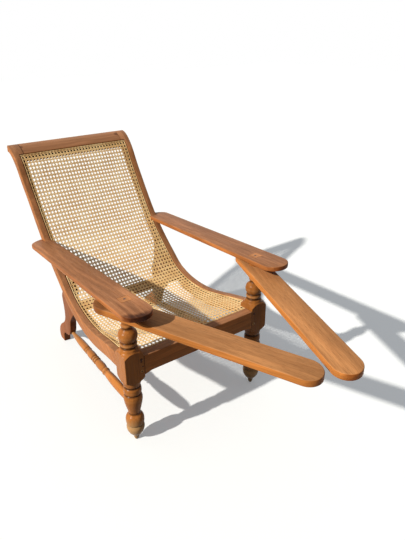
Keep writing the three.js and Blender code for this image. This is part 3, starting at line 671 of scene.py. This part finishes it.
def span_mesh(name, outline):
    """A length of one section between the side rails."""
    y, z = outline.T
    places = (*JOINT_EDGE, INNER_RING)
    stations = [(-1, d) for d in places] + [(1, d) for d in reversed(places)]
    points = []
    for side, from_end in stations:
        points.extend(zip(side * (half_width(y) - SPAN_INSET - from_end), y, z))
    return spanning_mesh(name, points, len(stations), len(outline))


def spanning_mesh(name, points, rings, size):
    """A lofted piece with its first and last ring marked, for the dark line at its joints."""
    mesh = new_mesh(name, points, loft_faces(rings, size))
    values = np.zeros(len(mesh.vertices))
    values[:size] = JOINT_DIRT
    values[(rings - 1) * size : rings * size] = JOINT_DIRT
    mark(mesh, "groove", values)
    return mesh


def crest_rail():
    """The rail at the top of the back, its face following the sweep."""
    face = np.linspace(CREST_FACE_START, SWEEP_LENGTH, 12)
    corners = []
    for s, drop, radius in [
        (CREST_START, REBATE, 0.8),
        (CREST_FACE_START, REBATE, 0.6),
        (face[0], 0.0, 1.6),
        *((s, 0.0, 0.0) for s in face[1:-1]),
        (face[-1], 0.0, 3.0),
        (SWEEP_LENGTH, CREST_DEPTH, 3.4),
        *((s, rail_depth(s), 0.0) for s in face[-2:0:-1]),
        (CREST_START, rail_depth(CREST_START), 3.0),
    ]:
        y, z = sweep_at(s, drop)
        corners.append((float(y), float(z), radius))
    mesh = span_mesh("crest", rounded(corners))
    y, z = sweep_at(CREST_FACE_START + 44)
    joint = half_width(y) - RAIL_THICK - 5
    skin = wood("teak_crest", *TEAK, (1, 0, 0), 5.2, stains_and_shade=[(joint, y, z, 15, 0.8), (-joint, y, z, 8, 0.7)])
    paint_rebate_shade(piece("crest_rail_shaped", mesh, skin, ["crest_rail"]))


def front_rail():
    """The rail between the blocks, a little deeper at its ends, where it has small brackets."""
    length = 2 * (BLOCK_INNER - GAP)
    ends = [*JOINT_EDGE[:-1], *np.linspace(JOINT_EDGE[-1], BRACKET_LENGTH, 13)]
    stations = [*ends, *np.linspace(BRACKET_LENGTH, length - BRACKET_LENGTH, 30)[1:-1]]
    stations += [length - d for d in reversed(ends)]
    front = -BLOCK_DEPTH / 2
    face = front + FRONT_FACE
    back = face + FRONT_REBATE
    points = []
    for station in stations:
        share = min(station / BRACKET_LENGTH, (length - station) / BRACKET_LENGTH, 1.0)
        low = FRONT_TOP - FRONT_HEIGHT - BRACKET_DROP * (1 - share * share * (3 - 2 * share))
        section = rounded(
            [
                (front, low, 1.8),
                (back, low, 1.8),
                (back, FRONT_TOP - REBATE, 0.8),
                (face, FRONT_TOP - REBATE, 0.6),
                (face, FRONT_TOP, 1.4),
                (front, FRONT_TOP, 2.4),
            ]
        )
        points.extend((station - length / 2, v, w) for v, w in section)
    mesh = spanning_mesh("front_rail", points, len(stations), len(section))
    skin = wood("teak_front_rail", *TEAK, (1, 0, 0), 6.4)
    piece("front_rail_shaped", mesh, skin, ["front_rail"])


def cross_rail():
    """The rail under the cane at the bend."""
    top = REBATE + GAP
    corners = []
    low, high = CROSS_PLACE - CROSS_WIDTH / 2, CROSS_PLACE + CROSS_WIDTH / 2
    for s, drop, radius in [
        (low, top, 3.0),
        *((s, top, 0.0) for s in np.linspace(low, high, 8)[1:-1]),
        (high, top, 3.0),
        (high, top + CROSS_DEPTH, 4.0),
        (low, top + CROSS_DEPTH, 4.0),
    ]:
        y, z = sweep_at(s, drop)
        corners.append((float(y), float(z), radius))
    mesh = span_mesh("cross", rounded(corners))
    skin = wood("teak_cross_rail", *TEAK, (1, 0, 0), 7.7)
    piece("rear_cross_rail_shaped", mesh, skin, ["rear_cross_rail"])


# Front posts

PROFILE_STEPS = 5
POST_FACETS = 72
SHOULDER_CURVE = 0.8
BLOCK_EDGE = 1.8
GROOVE_STEP = 0.5
GROOVE_WINDOW = 13.0
GROOVE_FULL = 6.0
CROWN_FULL = 14.0
NAIL = [(NAIL_RADIUS, 0), (NAIL_RADIUS, 20.2), (3.4, 20.6), (0.8, 20.8)]
PEG = [(6.2, 0), (6.4, 29.6), (6.0, 30.2), (4.4, 30.7), (1.2, 30.9)]


def front_post(side):
    """A post turned from a square bar, with its tenon's end in the arm and the nail in it."""
    label = SIDES[side]
    corner = math.hypot(BLOCK_WIDTH, BLOCK_DEPTH) / 2 + 0.5
    head = COLLAR_TOP - HEAD_BOTTOM
    lower = catmull([(r * TURNING, h * FOOT_HEIGHT) for r, h in FOOT], PROFILE_STEPS)
    shares = np.linspace(0, 1, 6)[1:]
    shoulder = [(TURNING + (corner - TURNING) * t**SHOULDER_CURVE, FOOT_HEIGHT + SHOULDER * t) for t in shares]
    upper_shoulder = [(r, HEAD_BOTTOM + FOOT_HEIGHT - h) for r, h in reversed(shoulder)]
    upper = catmull([(r * TURNING, HEAD_BOTTOM + h * head) for r, h in HEAD], PROFILE_STEPS)
    collar_low = COLLAR_TOP - COLLAR / 2
    collar = rounded(
        [
            (COLLAR - 8, collar_low - 3, 0),
            (COLLAR, collar_low, 2.0),
            (COLLAR, COLLAR_TOP, 1.2),
            (PIVOT_RADIUS, COLLAR_TOP, 0),
            (PIVOT_RADIUS, ARM_UNDER - 2.0, 0),
        ],
        3,
    )
    profile = [*lower, *shoulder, *upper_shoulder, *upper, *collar]
    axis = ((side * POST_X, 0, 0), (0, 0, 1))
    turned = turned_mesh("turned", profile, *axis, POST_FACETS)
    low = (side * POST_X - BLOCK_WIDTH / 2, -BLOCK_DEPTH / 2, -2)
    high = (side * POST_X + BLOCK_WIDTH / 2, BLOCK_DEPTH / 2, ARM_TOP)
    mesh = cut(turned, box_mesh("bar", low, high, BLOCK_EDGE), "INTERSECT")
    mark_grooves(mesh, profile, *axis)
    knots = [(-POST_X + 27, -37, 378, 4.5), (-POST_X + 32, -37, 356, 3.5)] if side < 0 else ()
    skin = wood(
        f"teak_post_{label}", *TURNED, (0, 0, 1), 3.3 + side, rough=0.26, shine=0.08, turned=True, knots=knots
    )
    piece(f"front_post_{label}_turned", mesh, skin, [f"front_post_{label}"])
    tenon = box_mesh("tenon", *tenon_corners(side, TENON_END / 2, ARM_UNDER - 1, ARM_TOP + 0.1), 0.6)
    for point in tenon.vertices:
        if point.co.z > (ARM_TOP - 1) * MM:
            point.co.z -= ARM_SLOPE * (point.co.y / MM - SHIFT[1]) * MM
    piece(f"arm_tenon_{label}_end", tenon, end_grain)
    nail = turned_mesh("nail", NAIL, (side * POST_X, 0, ARM_TOP - 20), (0, 0, 1), 20)
    piece(f"tenon_nail_{label}_head", nail, steel, [f"tenon_nail_{label}"])


def tenon_corners(side, reach, low, high):
    """The lowest and highest corner of a square bar on the post's axis."""
    return (side * POST_X - reach, -reach, low), (side * POST_X + reach, reach, high)


def mark_grooves(mesh, profile, place, along):
    """Marks how deep each point of a turned piece lies in a groove, for painted shade there, and how far it stands
    out, for its lighter crown.
    """
    points = np.empty(len(mesh.vertices) * 3)
    mesh.vertices.foreach_get("co", points)
    start = (np.array(place, float) + SHIFT) * MM
    direction = np.array(Vector(along).normalized())
    height = (points.reshape(-1, 3) - start) @ direction / MM
    radii, heights = np.array(profile, float).T
    fine = np.arange(heights[0], heights[-1], GROOVE_STEP)
    radius = np.interp(fine, heights, radii)
    window = int(GROOVE_WINDOW / GROOVE_STEP)
    below = [radius[max(i - window, 0) : i + 1] for i in range(len(fine))]
    above = [radius[i : i + window + 1] for i in range(len(fine))]
    depth = [min(b.max(), a.max()) - r for b, a, r in zip(below, above, radius)]
    rise = [r - max(b.min(), a.min()) for b, a, r in zip(below, above, radius)]
    for name, offsets, full in (("groove", depth, GROOVE_FULL), ("crown", rise, CROWN_FULL)):
        mark(mesh, name, np.clip(np.interp(height, fine, offsets) / full, 0, 1))


def pegs(side):
    """The two pegs that hold the front rail's tenon, each with a dark heart."""
    for level, (name, shades) in enumerate(PEGS.items()):
        height = FRONT_TOP - FRONT_HEIGHT / 2 + (level - 0.5) * PEG_SPACING
        x, y = side * (BLOCK_INNER + PEG_INSET), -BLOCK_DEPTH / 2 + PEG_LENGTH
        mesh = turned_mesh("peg", PEG, (x, y, height), (0, -1, 0), 14)
        label = f"{name}_{SIDES[side]}"
        heart = (x, y - 30.5, height, 2.6)
        skin = wood(f"teak_peg_{label}", *shades, (0, 1, 0), 6.1 + level + side, [heart])
        piece(f"rail_peg_{label}_cut", mesh, skin, [f"rail_peg_{label}"], angle=50)


# Arms and leg rests

MORTISE_GAP = 1.0
MORTISE_OVER = 8
# Where dirt and painted shade darken the near arm's rounded end
DIRT_AND_SHADE_ANGLES = (215, 240, 265, 290)
BORE_GAP = 0.8
BORE_OVER = 15


def arm(side):
    """An arm with a round front and a horn behind. The near one is darker over its front, has dirt and painted shade
    round its rounded end, and a painted shadow where its butt meets the rail.
    """
    label = SIDES[side]
    radius = (ARM_OUTER - ARM_INNER) / 2
    middle = (ARM_OUTER + ARM_INNER) / 2
    round_y = radius - ARM_FRONT
    horn = WAIST + GAP
    outline = [(ARM_INNER + ARM_TAPER, ARM_BUTT)]
    for y in np.linspace(ARM_BUTT - 30, round_y + 20, 24):
        share = (ARM_BUTT - y) / (ARM_BUTT - round_y)
        outline.append((ARM_INNER + ARM_TAPER * (1 - share), y))
    for a in np.linspace(math.pi, 2 * math.pi, 40):
        outline.append((middle + radius * math.cos(a), round_y + radius * math.sin(a)))
    outline.extend((ARM_OUTER, y) for y in np.linspace(round_y + 30, ARM_REAR - HORN - 20, 24))
    curve = np.array([(ARM_OUTER, ARM_REAR - HORN), (ARM_OUTER, ARM_REAR - HORN / 3), (horn, ARM_REAR)])
    outline.extend(bend(*curve, 14))
    outline.append((horn, ARM_BUTT))

    def put(u, v, w):
        return side * u, v, ARM_TOP - ARM_SLOPE * v + w

    mesh = board_mesh("arm", outline, ARM_THICK, ARM_EDGE, put)
    reach = TENON_END / 2 + MORTISE_GAP
    hole = box_mesh("hole", *tenon_corners(side, reach, ARM_UNDER - MORTISE_OVER, ARM_TOP + MORTISE_OVER), 0.8)
    mesh = cut(mesh, hole, "DIFFERENCE")
    stains_and_shade = []
    if side < 0:
        stains_and_shade.append((-middle, 10 - ARM_FRONT, ARM_TOP, 110, 0.22))
        # Dirt and painted shade round the front of the rounded end
        for a in DIRT_AND_SHADE_ANGLES:
            x, y = radius * math.cos(math.radians(a)) - middle, round_y + radius * math.sin(math.radians(a))
            stains_and_shade.append((x, y, ARM_TOP - ARM_SLOPE * y - 5, 26, 0.9))
        # A painted shadow where the arm's butt meets the rail
        stains_and_shade.append((-ARM_INNER - 45, ARM_BUTT - 4, ARM_TOP - ARM_SLOPE * ARM_BUTT, 11, 1.0))
    skin = wood(f"teak_arm_{label}", *RED_TEAK, (0, 1, 0), 4.1 + 2 * side, contrast=1.5, stains_and_shade=stains_and_shade)
    piece(f"arm_{label}_shaped", mesh, skin, [f"arm_{label}"])


def leg_rest(side):
    """A leg rest as the photo shows it, swung inwards, bored for the post's pivot."""
    stub, tip = REST_STUB_WIDTH / 2, REST_TIP_WIDTH / 2
    stub_v, tip_v = REST_STUB - stub, tip - REST_REACH
    shares = np.linspace(0, 1, 30)[1:-1]
    outline = [(stub * math.cos(a), stub_v + stub * math.sin(a)) for a in np.linspace(0, math.pi, 36)]
    outline += [(-stub + (stub - tip) * t, stub_v * (1 - t) + tip_v * t) for t in shares]
    outline += [(tip * math.cos(a), tip_v + tip * math.sin(a)) for a in np.linspace(math.pi, 2 * math.pi, 40)]
    outline += [(tip + (stub - tip) * t, tip_v * (1 - t) + stub_v * t) for t in shares]
    turn = REST_TURN[side]

    def put(u, v, w):
        x = u * math.cos(turn) - v * math.sin(turn)
        y = u * math.sin(turn) + v * math.cos(turn)
        return side * POST_X + x, y, REST_TOP + REST_SLOPE * v + w

    mesh = board_mesh("rest", outline, REST_THICK, REST_EDGE, put)
    radius = PIVOT_RADIUS + BORE_GAP
    bore_place = (side * POST_X, 0, REST_TOP - REST_THICK - BORE_OVER)
    bore = turned_mesh("bore", [(radius, 0), (radius, REST_THICK + 2 * BORE_OVER)], bore_place, (0, 0, 1))
    mesh = cut(mesh, bore, "DIFFERENCE")
    grain = (-math.sin(turn), math.cos(turn), 0)
    knots = [(-219, -265, 582, 4.5)] if side < 0 else ()
    stains_and_shade = [(-374, 62, 596, 42, 0.7)] if side < 0 else ()
    name = f"leg_rest_{SIDES[side]}"
    skin = wood(f"teak_rest_{SIDES[side]}", *GOLD, grain, 8.2 + 3 * side, knots=knots, stains_and_shade=stains_and_shade)
    piece(f"{name}_shaped", mesh, skin, [name], body=name)


# Rear legs and stretchers

LEG_TOP_CORNER = 17
LEG_SCREWS = {"lower": (0.2, 0.78), "upper": (0.32, 0.87)}
SCREW = [(2.6, -34), (2.6, 4), (6.0, 7.4), (6.0, 8.1), (4.6, 8.7), (2.4, 9.0), (0.5, 9.1)]
SCREW_SINK = 8.0
SLOT_WIDTH = 1.2
SLOT_LENGTH = 14.0
SLOT_DEPTH = 3.0


def leg_run(share):
    """How far back a share of the leg's width lies."""
    return LEG_TOE + share * (LEG_HEEL - LEG_TOE)


def rear_leg(side):
    """A sawn leg and the two slotted screws that hold it to the rail."""
    label = SIDES[side]
    corners = [(leg_run(u), v * LEG_HEIGHT) for u, v in LEG]
    rear_edge = catmull(corners[1 : LEG_TOP_CORNER + 1], 6)
    front_edge = catmull(corners[LEG_TOP_CORNER:], 6)
    outline = [*rear_edge[:-1], *front_edge, corners[0]]

    def put(u, v, w):
        return side * (LEG_PLANE + w), u, v

    mesh = board_mesh("leg", outline, LEG_THICK, LEG_EDGE, put)
    skin = wood(f"teak_leg_{label}", *LEG_TEAK, (0, 0.3, 1), 11.5 + side)
    piece(f"rear_leg_{label}_sawn", mesh, skin, [f"rear_leg_{label}"])
    inner = side * (LEG_PLANE - LEG_THICK)
    for name, (run, rise) in LEG_SCREWS.items():
        y, z = leg_run(run), rise * LEG_HEIGHT
        screw = turned_mesh("screw", SCREW, (inner + side * SCREW_SINK, y, z), (-side, 0, 0), 28)
        across = sorted((inner - side * SLOT_DEPTH, inner + side * 0.1))
        low = (across[0], y - SLOT_WIDTH / 2, z - SLOT_LENGTH / 2)
        high = (across[1], y + SLOT_WIDTH / 2, z + SLOT_LENGTH / 2)
        screw = cut(screw, box_mesh("slot", low, high), "DIFFERENCE")
        piece(f"leg_screw_{name}_{label}_head", screw, steel, [f"leg_screw_{name}_{label}"])


def stretcher(side):
    """A turned stretcher from the rear leg up to the front post."""
    label = SIDES[side]
    rear = Vector((side * STRETCHER_REAR_X, leg_run(STRETCHER_LEG_SHARE), STRETCHER_LOW))
    front = Vector((side * POST_X, STRETCHER_FRONT_Y, STRETCHER_HIGH))
    along = front - rear
    length = along.length
    middle = catmull([(r * STRETCHER, h * length) for r, h in STRETCHER_SHARES], PROFILE_STEPS)
    profile = [REAR_PIN, *middle, (FRONT_PIN[0], length + FRONT_PIN[1])]
    mesh = turned_mesh("stretcher", profile, rear, along, STRETCHER_FACETS)
    mark_grooves(mesh, profile, rear, along)
    skin = wood(
        f"teak_stretcher_{label}", *SPINDLE, tuple(along), 13.5 + side, rough=0.3, shine=0.1, turned=True
    )
    piece(f"side_stretcher_{label}_turned", mesh, skin, [f"side_stretcher_{label}"])


# Cane: pairs of strands along and across, and one strand on each diagonal between them

CANE_PITCH = 15.9
CANE_ROW = 18.8
CANE_RISE = 0.7
CANE_DROP = REBATE - CANE_RISE
STRAND = 2.95
STRAND_THICK = 0.8
PAIR = 1.8
EDGE_INSET = RAIL_FACE + 6.0
FRONT_RUN = 35.0
CANE_FIRST = -33.0
CANE_LAST = CREST_FACE_START - 6.0
SECTION = [(-0.5, 0.0), (-0.32, 0.8), (0.0, 1.0), (0.32, 0.8), (0.5, 0.0)]
CANE_ANGLE = 60


def cane_surface(s, lift=0.0):
    """Points (y, z) on the cane at lengths s, from the front rail at negative lengths, a lift above its underside."""
    y, z = sweep_at(np.maximum(s, 0), CANE_DROP - lift)
    start_y, start_z = sweep_at(0.0, CANE_DROP - lift)
    back = np.clip(-np.asarray(s, float) / FRONT_RUN, 0, 1)
    front_z = FRONT_TOP - REBATE + CANE_RISE + lift
    y = np.where(s < 0, start_y - back * FRONT_RUN, y)
    z = np.where(s < 0, start_z + (front_z - start_z) * back, z)
    return y, z


def cane_half(s):
    """Half the caned panel's width at lengths s."""
    y = cane_surface(s)[0]
    half = half_width(y) - EDGE_INSET
    return np.where(y < BLOCK_DEPTH / 2 + 2, np.minimum(half, BLOCK_INNER - 1.5), half)


class Strands:
    """Collects half-round strands as one mesh."""

    def __init__(self):
        self.points = []
        self.faces = []

    def add(self, x, s, lift, width=STRAND, thick=STRAND_THICK):
        """A strand along a path of (x, s), its underside a lift above the cane's."""
        x, s, lift = (np.asarray(v, float) for v in (x, s, lift))
        if len(x) < 2:
            return
        dx, ds = np.gradient(x), np.gradient(s)
        size = np.hypot(dx, ds)
        across_x, across_s = ds / size, -dx / size
        start = len(self.points)
        rings = []
        for offset, rise in SECTION:
            px = x + across_x * offset * width
            ps = s + across_s * offset * width
            y, z = cane_surface(ps, lift + rise * thick)
            rings.append(np.stack([px, y, z], axis=1))
        self.points.extend(np.stack(rings, axis=1).reshape(-1, 3))
        self.faces.extend(loft_faces(len(x), len(SECTION), start))

    def piece(self, name, material, node):
        """The collected strands as a piece that stands for a node."""
        mesh = new_mesh(name, self.points, self.faces, weld=False)
        piece(name, mesh, material, [node], angle=CANE_ANGLE)


def inside_runs(x, s):
    """The stretches of a path that lie on the caned panel."""
    inside = (np.abs(x) <= cane_half(s)) & (s >= CANE_FIRST) & (s <= CANE_LAST)
    edges = np.flatnonzero(np.diff(np.concatenate([[0], inside.astype(int), [0]])))
    return [slice(start, stop) for start, stop in zip(edges[::2], edges[1::2]) if stop - start > 2]


COLUMNS = 19
ROW_START = CANE_FIRST + 6
ROWS = int((CANE_LAST - ROW_START) / CANE_ROW)
PATH_STEP = 0.25
UPRIGHT_LIFT = 0.55
LEVEL_LIFT = 0.95
PAIR_WAVE = 0.35
SLANT_LIFT = 0.9
SLANT_WAVE = 0.75


def wave(place, pitch):
    """The weave's rise and fall, from -1 to 1."""
    return np.cos(2 * np.pi * place / pitch)


def weave():
    """The cane: its strands pass over and under each other."""
    upright, level = Strands(), Strands()
    s_path = np.arange(CANE_FIRST, CANE_LAST, CANE_ROW * PATH_STEP)
    for column in range(-COLUMNS, COLUMNS + 1):
        for member in (-1, 1):
            x = np.full_like(s_path, column * CANE_PITCH + member * PAIR)
            lift = UPRIGHT_LIFT + PAIR_WAVE * wave(s_path - ROW_START, CANE_ROW) * member
            for run in inside_runs(x, s_path):
                upright.add(x[run], s_path[run], lift[run])
    for row in range(ROWS + 1):
        place = ROW_START + row * CANE_ROW
        reach = float(cane_half(place))
        x = np.arange(-COLUMNS * CANE_PITCH, COLUMNS * CANE_PITCH + 0.1, CANE_PITCH * PATH_STEP)
        x = np.unique(np.clip(x, -reach, reach))
        for member in (-1, 1):
            lift = LEVEL_LIFT - PAIR_WAVE * wave(x, CANE_PITCH) * member
            level.add(x, np.full_like(x, place + member * PAIR), lift)
    upright.piece("cane_upright_strands", cane_colour, "cane_panel")
    level.piece("cane_level_strands", cane_colour, "cane_panel")
    u = np.arange(-COLUMNS - 1, COLUMNS + 1.01, PATH_STEP)
    x = u * CANE_PITCH
    for name, slant in (("rising", 1), ("falling", -1)):
        strands = Strands()
        lift = SLANT_LIFT + slant * SLANT_WAVE * wave(u, 1)
        for k in range(-2 * COLUMNS - 2, ROWS + 2 * COLUMNS + 2):
            s = ROW_START + (slant * u + k + 0.5) * CANE_ROW
            for run in inside_runs(x, s):
                strands.add(x[run], s[run], lift[run])
        strands.piece(f"cane_{name}_strands", cane_colour, "cane_panel")


# Binder strips over the cane's edges, each with a loop sewn over it at every hole

BINDER_WIDTH = 5.0
BINDER_THICK = 1.6
BINDER_LIFT = 2.3
BINDER_INSET = RAIL_FACE + 3.6 + BINDER_WIDTH / 2
CREST_BINDER = CREST_FACE_START - 2.8 - BINDER_WIDTH / 2
FRONT_BINDER = -28.5
BINDER_STEP = 6.0
SEWN_COLUMNS = 16
LOOP_WIDTH = 2.6
LOOP_THICK = 1.1
LOOP_POINTS = 7
LOOP_SHORT = 3.4
LOOP_LONG = 8.5
LOOP_LEAN = np.linspace(-2.0, 2.0, LOOP_POINTS)
LOOP_LIFT = np.sqrt(np.clip(1 - np.linspace(-1, 1, LOOP_POINTS) ** 2, 0, 1)) + BINDER_LIFT - 0.2


def sewn_strip(node, path, loop, places):
    """A flat binder along a path of (x, s). loop turns a place into the path of the loop sewn there."""
    strip = Strands()
    x, s = path
    strip.add(x, s, np.full_like(x, BINDER_LIFT), BINDER_WIDTH, BINDER_THICK)
    for place in places:
        strip.add(*loop(place), LOOP_LIFT, LOOP_WIDTH, LOOP_THICK)
    strip.piece(f"{node}_sewn", binder_colour, node)


def binders():
    """The four binder strips."""
    for side in (1, -1):

        def across(place, side=side):
            edge = float(half_width(cane_surface(place)[0])) - BINDER_INSET
            return side * np.linspace(edge - LOOP_LONG, edge + LOOP_SHORT, LOOP_POINTS), place + LOOP_LEAN

        s = np.arange(0.5, CREST_BINDER - BINDER_WIDTH / 2, BINDER_STEP)
        x = side * (half_width(cane_surface(s)[0]) - BINDER_INSET)
        places = np.arange(ROW_START + 2 * CANE_ROW, CREST_BINDER - 8, CANE_ROW)
        sewn_strip(f"cane_binder_{SIDES[side]}", (x, s), across, places)

    crest_half = float(half_width(cane_surface(CREST_BINDER)[0])) - RAIL_FACE - 1.8
    for name, place, half, down in (
        ("crest", CREST_BINDER, crest_half, LOOP_LONG),
        ("front", FRONT_BINDER, BLOCK_INNER - 1.0, LOOP_SHORT),
    ):

        def along(x, place=place, down=down):
            return x + LOOP_LEAN, np.linspace(place - down, place + LOOP_SHORT, LOOP_POINTS)

        x = np.arange(-half, half + 0.1, half / 50)
        columns = CANE_PITCH * np.arange(-SEWN_COLUMNS, SEWN_COLUMNS + 1)
        columns = columns[np.abs(columns) < half - 3]
        sewn_strip(f"cane_binder_{name}", (x, np.full_like(x, place)), along, columns)


for chair_side in (1, -1):
    side_rail(chair_side)
    front_post(chair_side)
    pegs(chair_side)
    arm(chair_side)
    leg_rest(chair_side)
    rear_leg(chair_side)
    stretcher(chair_side)
crest_rail()
front_rail()
cross_rail()
weave()
binders()

# Camera


def heading(azimuth, elevation):
    """The direction at this azimuth from -y, negative towards -x, and at this elevation."""
    a, e = math.radians(azimuth), math.radians(elevation)
    return Vector((math.sin(a) * math.cos(e), -math.cos(a) * math.cos(e), math.sin(e)))


CAMERA_PLACE = np.array([-935.4, -1358.2, 1471.3])
CAMERA_AZIMUTH = -35.49
CAMERA_ELEVATION = 26.40
ROLL = math.radians(-0.56)
FOCAL_PIXELS = 499.78
PICTURE_HEIGHT = 540
SENSOR = 36.0
back = heading(CAMERA_AZIMUTH, CAMERA_ELEVATION)
right = Vector((0, 0, 1)).cross(back).normalized()
turn = Matrix((right, back.cross(right), back)).transposed() @ Matrix.Rotation(ROLL, 3, "Z")
camera_data = bpy.data.cameras.new("camera")
camera_data.sensor_fit = "VERTICAL"
camera_data.sensor_height = SENSOR
camera_data.lens = FOCAL_PIXELS * SENSOR / PICTURE_HEIGHT
camera_data.clip_start = 0.05
camera = add_object("camera", camera_data)
camera.matrix_world = Matrix.Translation(Vector((CAMERA_PLACE + SHIFT) * MM)) @ turn.to_4x4()
bpy.context.scene.camera = camera

# Light, floor and background

SUN_AZIMUTH = -92.0
SUN_ELEVATION = 34.0
SUN_STRENGTH = 4.6
SUN_ANGLE = math.radians(1.5)
SUN_COLOUR = (1.0, 0.95, 0.87)
SKY_COLOUR = (0.93, 0.96, 1.0, 1.0)
SKY_TOP = 0.8
SKY_STRENGTHS = (0.05, 0.32)
FLOOR_REACH = 14.0
FLOOR_LEVEL = -0.0006
FLOOR_BOUNCE = (0.12, 0.11, 0.1, 1.0)
FLOOR_COLOUR = (0.81175, 0.83725, 0.85, 1.0)
FLOOR_GLOW = (0.92, 0.96, 1.0, 1.0)
GLOW_STRENGTH = 0.195

sun_data = bpy.data.lights.new("sun", "SUN")
sun_data.energy = SUN_STRENGTH
sun_data.angle = SUN_ANGLE
sun_data.color = SUN_COLOUR
sun = add_object("sun", sun_data)
sun.rotation_euler = heading(SUN_AZIMUTH, SUN_ELEVATION).to_track_quat("Z", "Y").to_euler()


def seen_directly(nodes):
    """1 for what the camera, a reflection or a clear surface shows, and 0 for the light that falls on the chair."""
    path = nodes.add("ShaderNodeLightPath").outputs
    seen = path["Is Camera Ray"]
    for other in ("Is Glossy Ray", "Is Transmission Ray"):
        seen = nodes.reckon("MAXIMUM", seen, path[other])
    return seen


world = bpy.data.worlds.new("studio")
bpy.context.scene.world = world
world.use_nodes = True
w = Nodes(world)
direction = w.add("ShaderNodeTexCoord").outputs["Generated"]
upward = w.add("ShaderNodeSeparateXYZ", {0: direction}).outputs["Z"]
strength = w.rescale(upward, 0.0, SKY_TOP, *SKY_STRENGTHS)
ambient = w.add("ShaderNodeBackground", {"Color": SKY_COLOUR, "Strength": strength})
white = w.add("ShaderNodeBackground", {"Color": grey(1.0), "Strength": 1.0})
mixed = w.add("ShaderNodeMixShader", {0: seen_directly(w), 1: ambient.outputs[0], 2: white.outputs[0]})
w.add("ShaderNodeOutputWorld", {"Surface": mixed.outputs[0]})

corners = [(x * FLOOR_REACH, y * FLOOR_REACH, FLOOR_LEVEL) for x, y in ((-1, -1), (1, -1), (1, 1), (-1, 1))]
floor_mesh = bpy.data.meshes.new("floor")
floor_mesh.from_pydata(corners, [], [(0, 1, 2, 3)])
floor_skin, f = new_material("floor_pale")
dull = f.add("ShaderNodeBsdfDiffuse", {"Color": FLOOR_BOUNCE})
pale = f.add("ShaderNodeBsdfDiffuse", {"Color": FLOOR_COLOUR})
glow = f.add("ShaderNodeEmission", {"Color": FLOOR_GLOW, "Strength": GLOW_STRENGTH})
shown = f.add("ShaderNodeAddShader", {0: pale.outputs[0], 1: glow.outputs[0]})
surface = f.add("ShaderNodeMixShader", {0: seen_directly(f), 1: dull.outputs[0], 2: shown.outputs[0]})
f.add("ShaderNodeOutputMaterial", {"Surface": surface.outputs[0]})
floor_mesh.materials.append(floor_skin)
add_object("floor", floor_mesh)

bpy.context.scene.view_settings.view_transform = "Standard"
